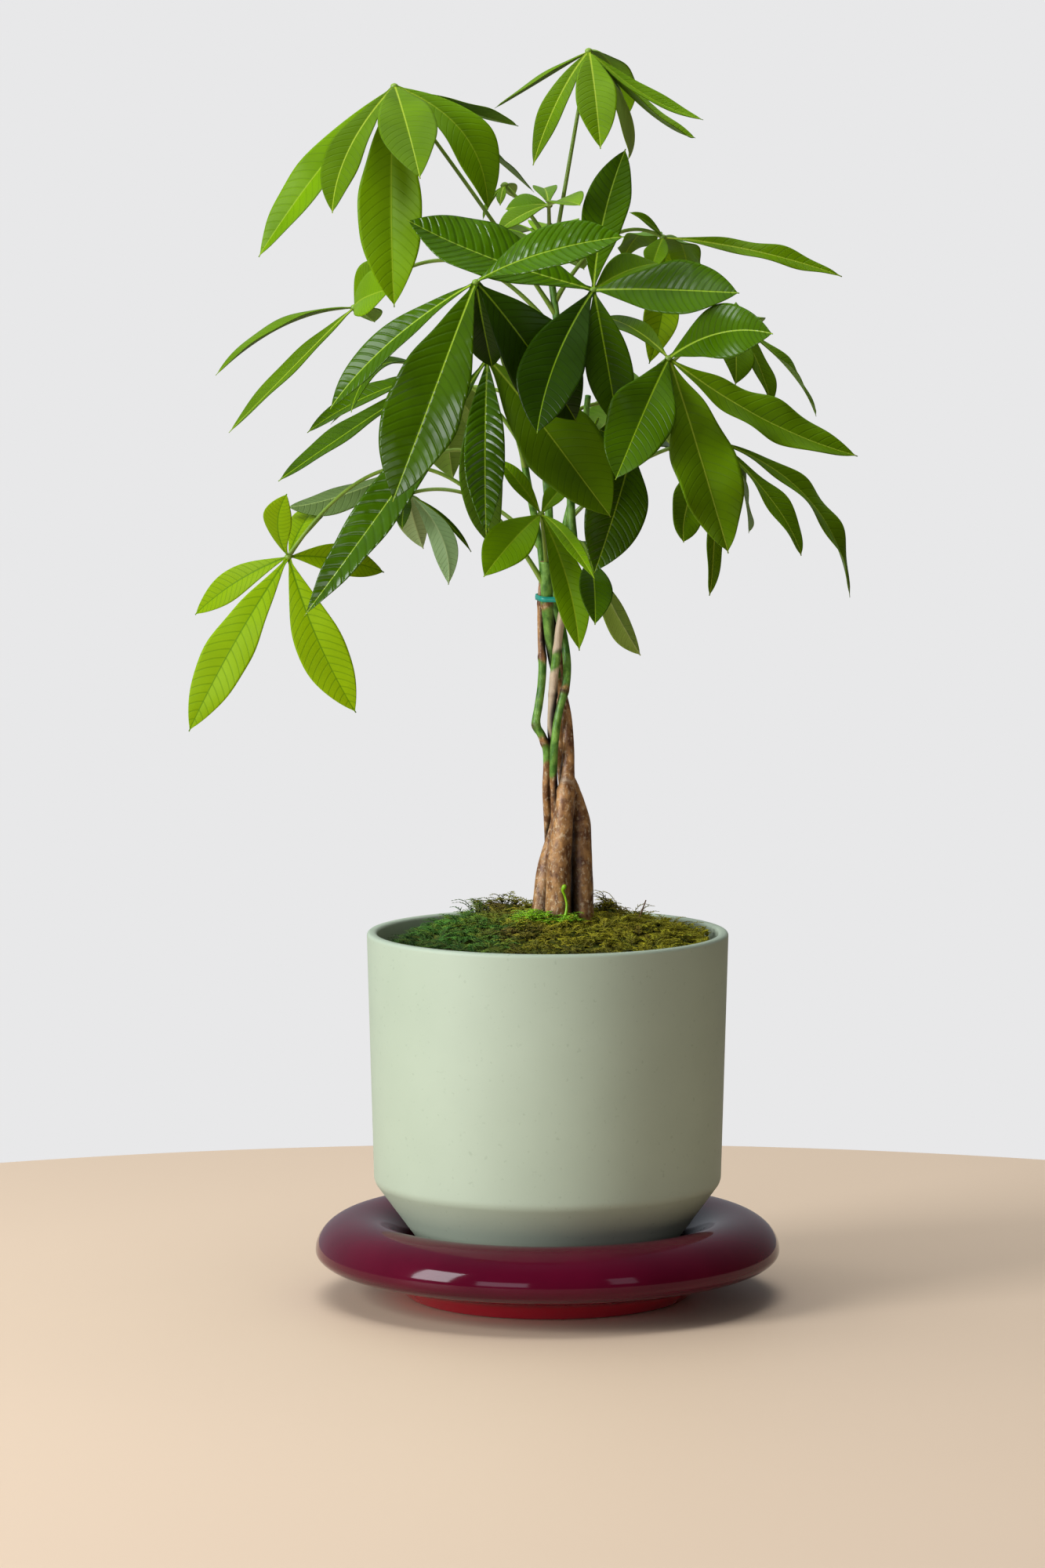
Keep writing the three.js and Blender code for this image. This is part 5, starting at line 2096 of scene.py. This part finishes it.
@dataclass
class Foliage:
    """All the leaves, each one piece: stalk, knuckle and leaflets.

    Attributes:
        thickness: How thick a blade is, in mm.
        arch: How high a midrib arches, as a share of the leaflet's length.
        bulge: How much each half of a blade swells, as a share of half its width.
        twist: The most that a blade twists from foot to tip, in radians each way.
        least_veins: The side veins that even the shortest leaflet has.
        vein_gap: The length in mm that adds one more side vein.
        vein_slant: How far a side vein runs towards the tip, as a share of half the width.
        wave_length: How long a wave of the margin is, in mm.
        stations: How many rows of points a leaflet has.
        across: Where each row's points are, from margin to margin.
        rib_height: How far the midrib stands out of the underside, in mm.
        rib_width: Half the midrib's width, in mm.
        stalk_radius: Half a stalk's thickness, in mm.
        stalk_sides: How many sides a stalk has.
        stalk_spacing: The distance between a stalk's rings, in mm.
        hub_radius: Half a knuckle's width, in mm.
    """

    thickness: float = 0.42
    arch: float = 0.09
    bulge: float = 0.12
    twist: float = 0.16
    least_veins: float = 14.0
    vein_gap: float = 16.0
    vein_slant: float = 0.5
    wave_length: float = 36.0
    stations: int = 73
    across: tuple[float, ...] = (
        -1.0, -0.9, -0.74, -0.56, -0.38, -0.2, -0.07, 0.0, 0.07, 0.2, 0.38, 0.56, 0.74, 0.9, 1.0,
    )
    rib_height: float = 0.5
    rib_width: float = 0.7
    stalk_radius: float = 1.1
    stalk_sides: int = 12
    stalk_spacing: float = 2.2
    hub_radius: float = 1.9

    def build(self, routes: dict[str, Route]) -> None:
        """Makes each leaf in its node's place.

        Args:
            routes: The route of each stem.
        """
        stalk = StalkSkin().build()
        upper = {tone: skin.build() for tone, skin in SKINS.items()}
        under = {tone: skin.build() for tone, skin in UNDERSIDES.items()}
        draws = np.random.default_rng(SEED + 1)
        for leaf in LEAVES:
            mesh = Draft()
            hub = VIEW.seen(*leaf.hub)
            self.add_stalk(mesh, leaf, hub, routes[leaf.stem])
            self.add_knuckle(mesh, hub)
            tones = [leaf.tone, *dict.fromkeys(leaf.other.values())]
            for number in range(len(leaf.leaflets)):
                tone = leaf.other.get(number, leaf.tone)
                first_slot = 1 + 2 * tones.index(tone)
                self.add_leaflet(mesh, hub, leaf, number, first_slot, draws)
            skins = [skin for tone in tones for skin in (upper[tone], under[tone])]
            name = leaf.node.replace("leaf_", "palmate_")
            dress(mesh.piece(name, [stalk, *skins]), "leaf", leaf.node)

    def add_stalk(self, mesh: Draft, leaf: Leaf, hub: np.ndarray, stem: Route) -> None:
        """Adds the leaf's stalk, which swells at both ends.

        Args:
            mesh: The leaf's mesh.
            leaf: The leaf.
            hub: Where the leaflets meet.
            stem: The route of the stem that it grows from.
        """
        start = stem.at_height(height_of(leaf.start))
        bend = (start + hub) / 2 + np.array([0, 0, 2 * leaf.rise])
        t = np.linspace(0, 1, 60)[:, None]
        dense = start * (1 - t) ** 2 + bend * 2 * t * (1 - t) + hub * t**2
        thick = self.stalk_radius * (
            1 - 0.22 * t[:, 0] + 0.5 * np.exp(-t[:, 0] * 18) + 0.35 * np.exp((t[:, 0] - 1) * 22)
        )
        route = Route.evened(dense, thick, self.stalk_spacing)
        rings = route.rings(self.stalk_sides)
        blank = np.zeros((*rings.shape[:2], 3))
        mesh.loft(rings, 0, blade=blank, shade=blank[..., :1])

    def add_knuckle(self, mesh: Draft, hub: np.ndarray) -> None:
        """Adds the small knuckle that joins stalk and leaflets.

        Args:
            mesh: The leaf's mesh.
            hub: Where the leaflets meet.
        """
        t = np.linspace(-1, 1, 9)
        line = hub + np.outer(t, [0, 0, self.hub_radius * 0.8])
        radii = self.hub_radius * np.sqrt(np.maximum(0.02, 1 - t**2))
        rings = Route(line, radii).rings(self.stalk_sides)
        blank = np.zeros((*rings.shape[:2], 3))
        mesh.loft(rings, 0, blade=blank, shade=blank[..., :1])

    def half_width(self, t: np.ndarray, width: float) -> np.ndarray:
        """Gives a leaflet its outline, with a narrow foot and a drawn-out tip.

        Args:
            t: Places along it, as shares of its length.
            width: Its full width, in mm.

        Returns:
            Half its width at each place, in mm.
        """
        body = np.sin(math.pi * np.clip(t / 0.985, 0, 1) ** 1.3) ** 0.85
        tip = 0.08 * (1 - smooth(t, 0.86, 1.0)) * smooth(t, 0.5, 0.8)
        foot = 0.09 * (1 - smooth(t, 0.03, 0.14))
        share = np.maximum(np.maximum(body, tip), foot)
        return np.maximum(0.3, width / 2 * share)

    def add_leaflet(
        self, mesh: Draft, hub: np.ndarray, leaf: Leaf, number: int, slot: int,
        draws: np.random.Generator,
    ) -> None:
        """Adds one leaflet: a thin blade, folded at its midrib, with waved margins.

        Args:
            mesh: The leaf's mesh.
            hub: Where the leaflets meet.
            leaf: The leaf.
            number: The leaflet's number in the leaf.
            slot: The material slot of its upper side; its underside has the next.
            draws: The random draws.
        """
        leaflet, wave = leaf.leaflets[number], leaf.wave
        up = unit(np.array(leaf.up, float))
        across, down, forward, width, roll = leaflet[:5]
        tip = VIEW.seen(across, down, forward)
        run = tip - hub
        length = float(np.linalg.norm(run))
        along = run / length
        face = unit(up - along * (up @ along))
        turn = math.radians(roll)
        face = face * math.cos(turn) + np.cross(along, face) * math.sin(turn)
        side = np.cross(face, along)
        straight = hub + run / 2
        arch = face * self.arch * length
        if len(leaflet) > 5:
            # The midrib passes through a given point of the view instead of just arching.
            arch = VIEW.seen(*leaflet[5], -straight[1] - arch[1]) - straight
        if number in leaf.turned:
            side = -side
        t = np.linspace(0, 1, self.stations)
        s = np.array(self.across)
        middle = hub + np.outer(t, run) + np.outer(4 * t * (1 - t), arch)
        heading = run + np.outer(4 * (1 - 2 * t), arch)
        heading /= np.linalg.norm(heading, axis=1, keepdims=True)
        level = np.cross(heading, side)
        level /= np.linalg.norm(level, axis=1, keepdims=True)
        # The blade twists a little from foot to tip.
        twist = (self.twist * draws.uniform(-1, 1) * (2 * t - 1))[:, None]
        normal = level * np.cos(twist) + side * np.sin(twist)
        side = side * np.cos(twist) - level * np.sin(twist)
        # Each margin waves in its own phase, in outline and in height.
        phase = draws.uniform(0, 2 * math.pi, 4)
        beat = 2 * math.pi * length / self.wave_length * t[:, None]
        left = (s < 0)[None]
        outline = 1 + 0.3 * wave * np.sin(1.3 * beat + np.where(left, phase[0], phase[1]))
        inner = np.abs(s)[None]
        half = self.half_width(t, width)[:, None] * outline
        slant = self.vein_slant * inner * (1 + 0.7 * inner) * half / length
        count = self.least_veins + length / self.vein_gap
        veins = count * (t[:, None] - slant) + draws.uniform(0, 1)
        lift = half * (leaf.fold * (inner - 0.5) + self.bulge * inner * (1 - inner))
        lift = lift + wave * half * inner**1.5 * np.sin(
            beat + np.where(left, phase[2], phase[3])
        )
        # The blade thins where it is narrow, and the midrib stands out below.
        body = np.minimum(1.0, half / 1.5) * self.thickness / 2
        bulk = np.exp(-((inner * half / self.rib_width) ** 2))
        rib = self.rib_height * bulk * (1.15 - t[:, None])
        shift = s[None] * half
        spread = middle[:, None] + side[:, None] * shift[..., None]
        upper = spread + normal[:, None] * (lift + body)[..., None]
        lower = spread + normal[:, None] * (lift - body - rib)[..., None]
        rings = np.concatenate([upper[:, ::-1], lower], axis=1)
        marks = np.stack([shift, np.repeat(t[:, None], len(s), 1), veins], axis=-1)
        marks = np.concatenate([marks[:, ::-1], marks], axis=1)
        shade = np.full((*rings.shape[:2], 1), draws.uniform(0.2, 0.8))
        strips = [slot] * len(s) + [slot + 1] * (len(s) - 1) + [slot]
        mesh.loft(rings, strips, blade=marks, shade=shade)


# ---- The object ----


def main() -> None:
    """Builds the studio and every piece."""
    logging.basicConfig(level=logging.INFO, format="%(name)s: %(message)s")
    bpy.context.scene.view_settings.view_transform = "Standard"
    Studio().build()
    Saucer().build()
    Pot().build()
    Soil().build()
    Moss().build()
    stems = Stems()
    stems.build()
    Tie().build(stems.routes)
    Foliage().build(stems.routes)


if __name__ == "__main__":
    main()
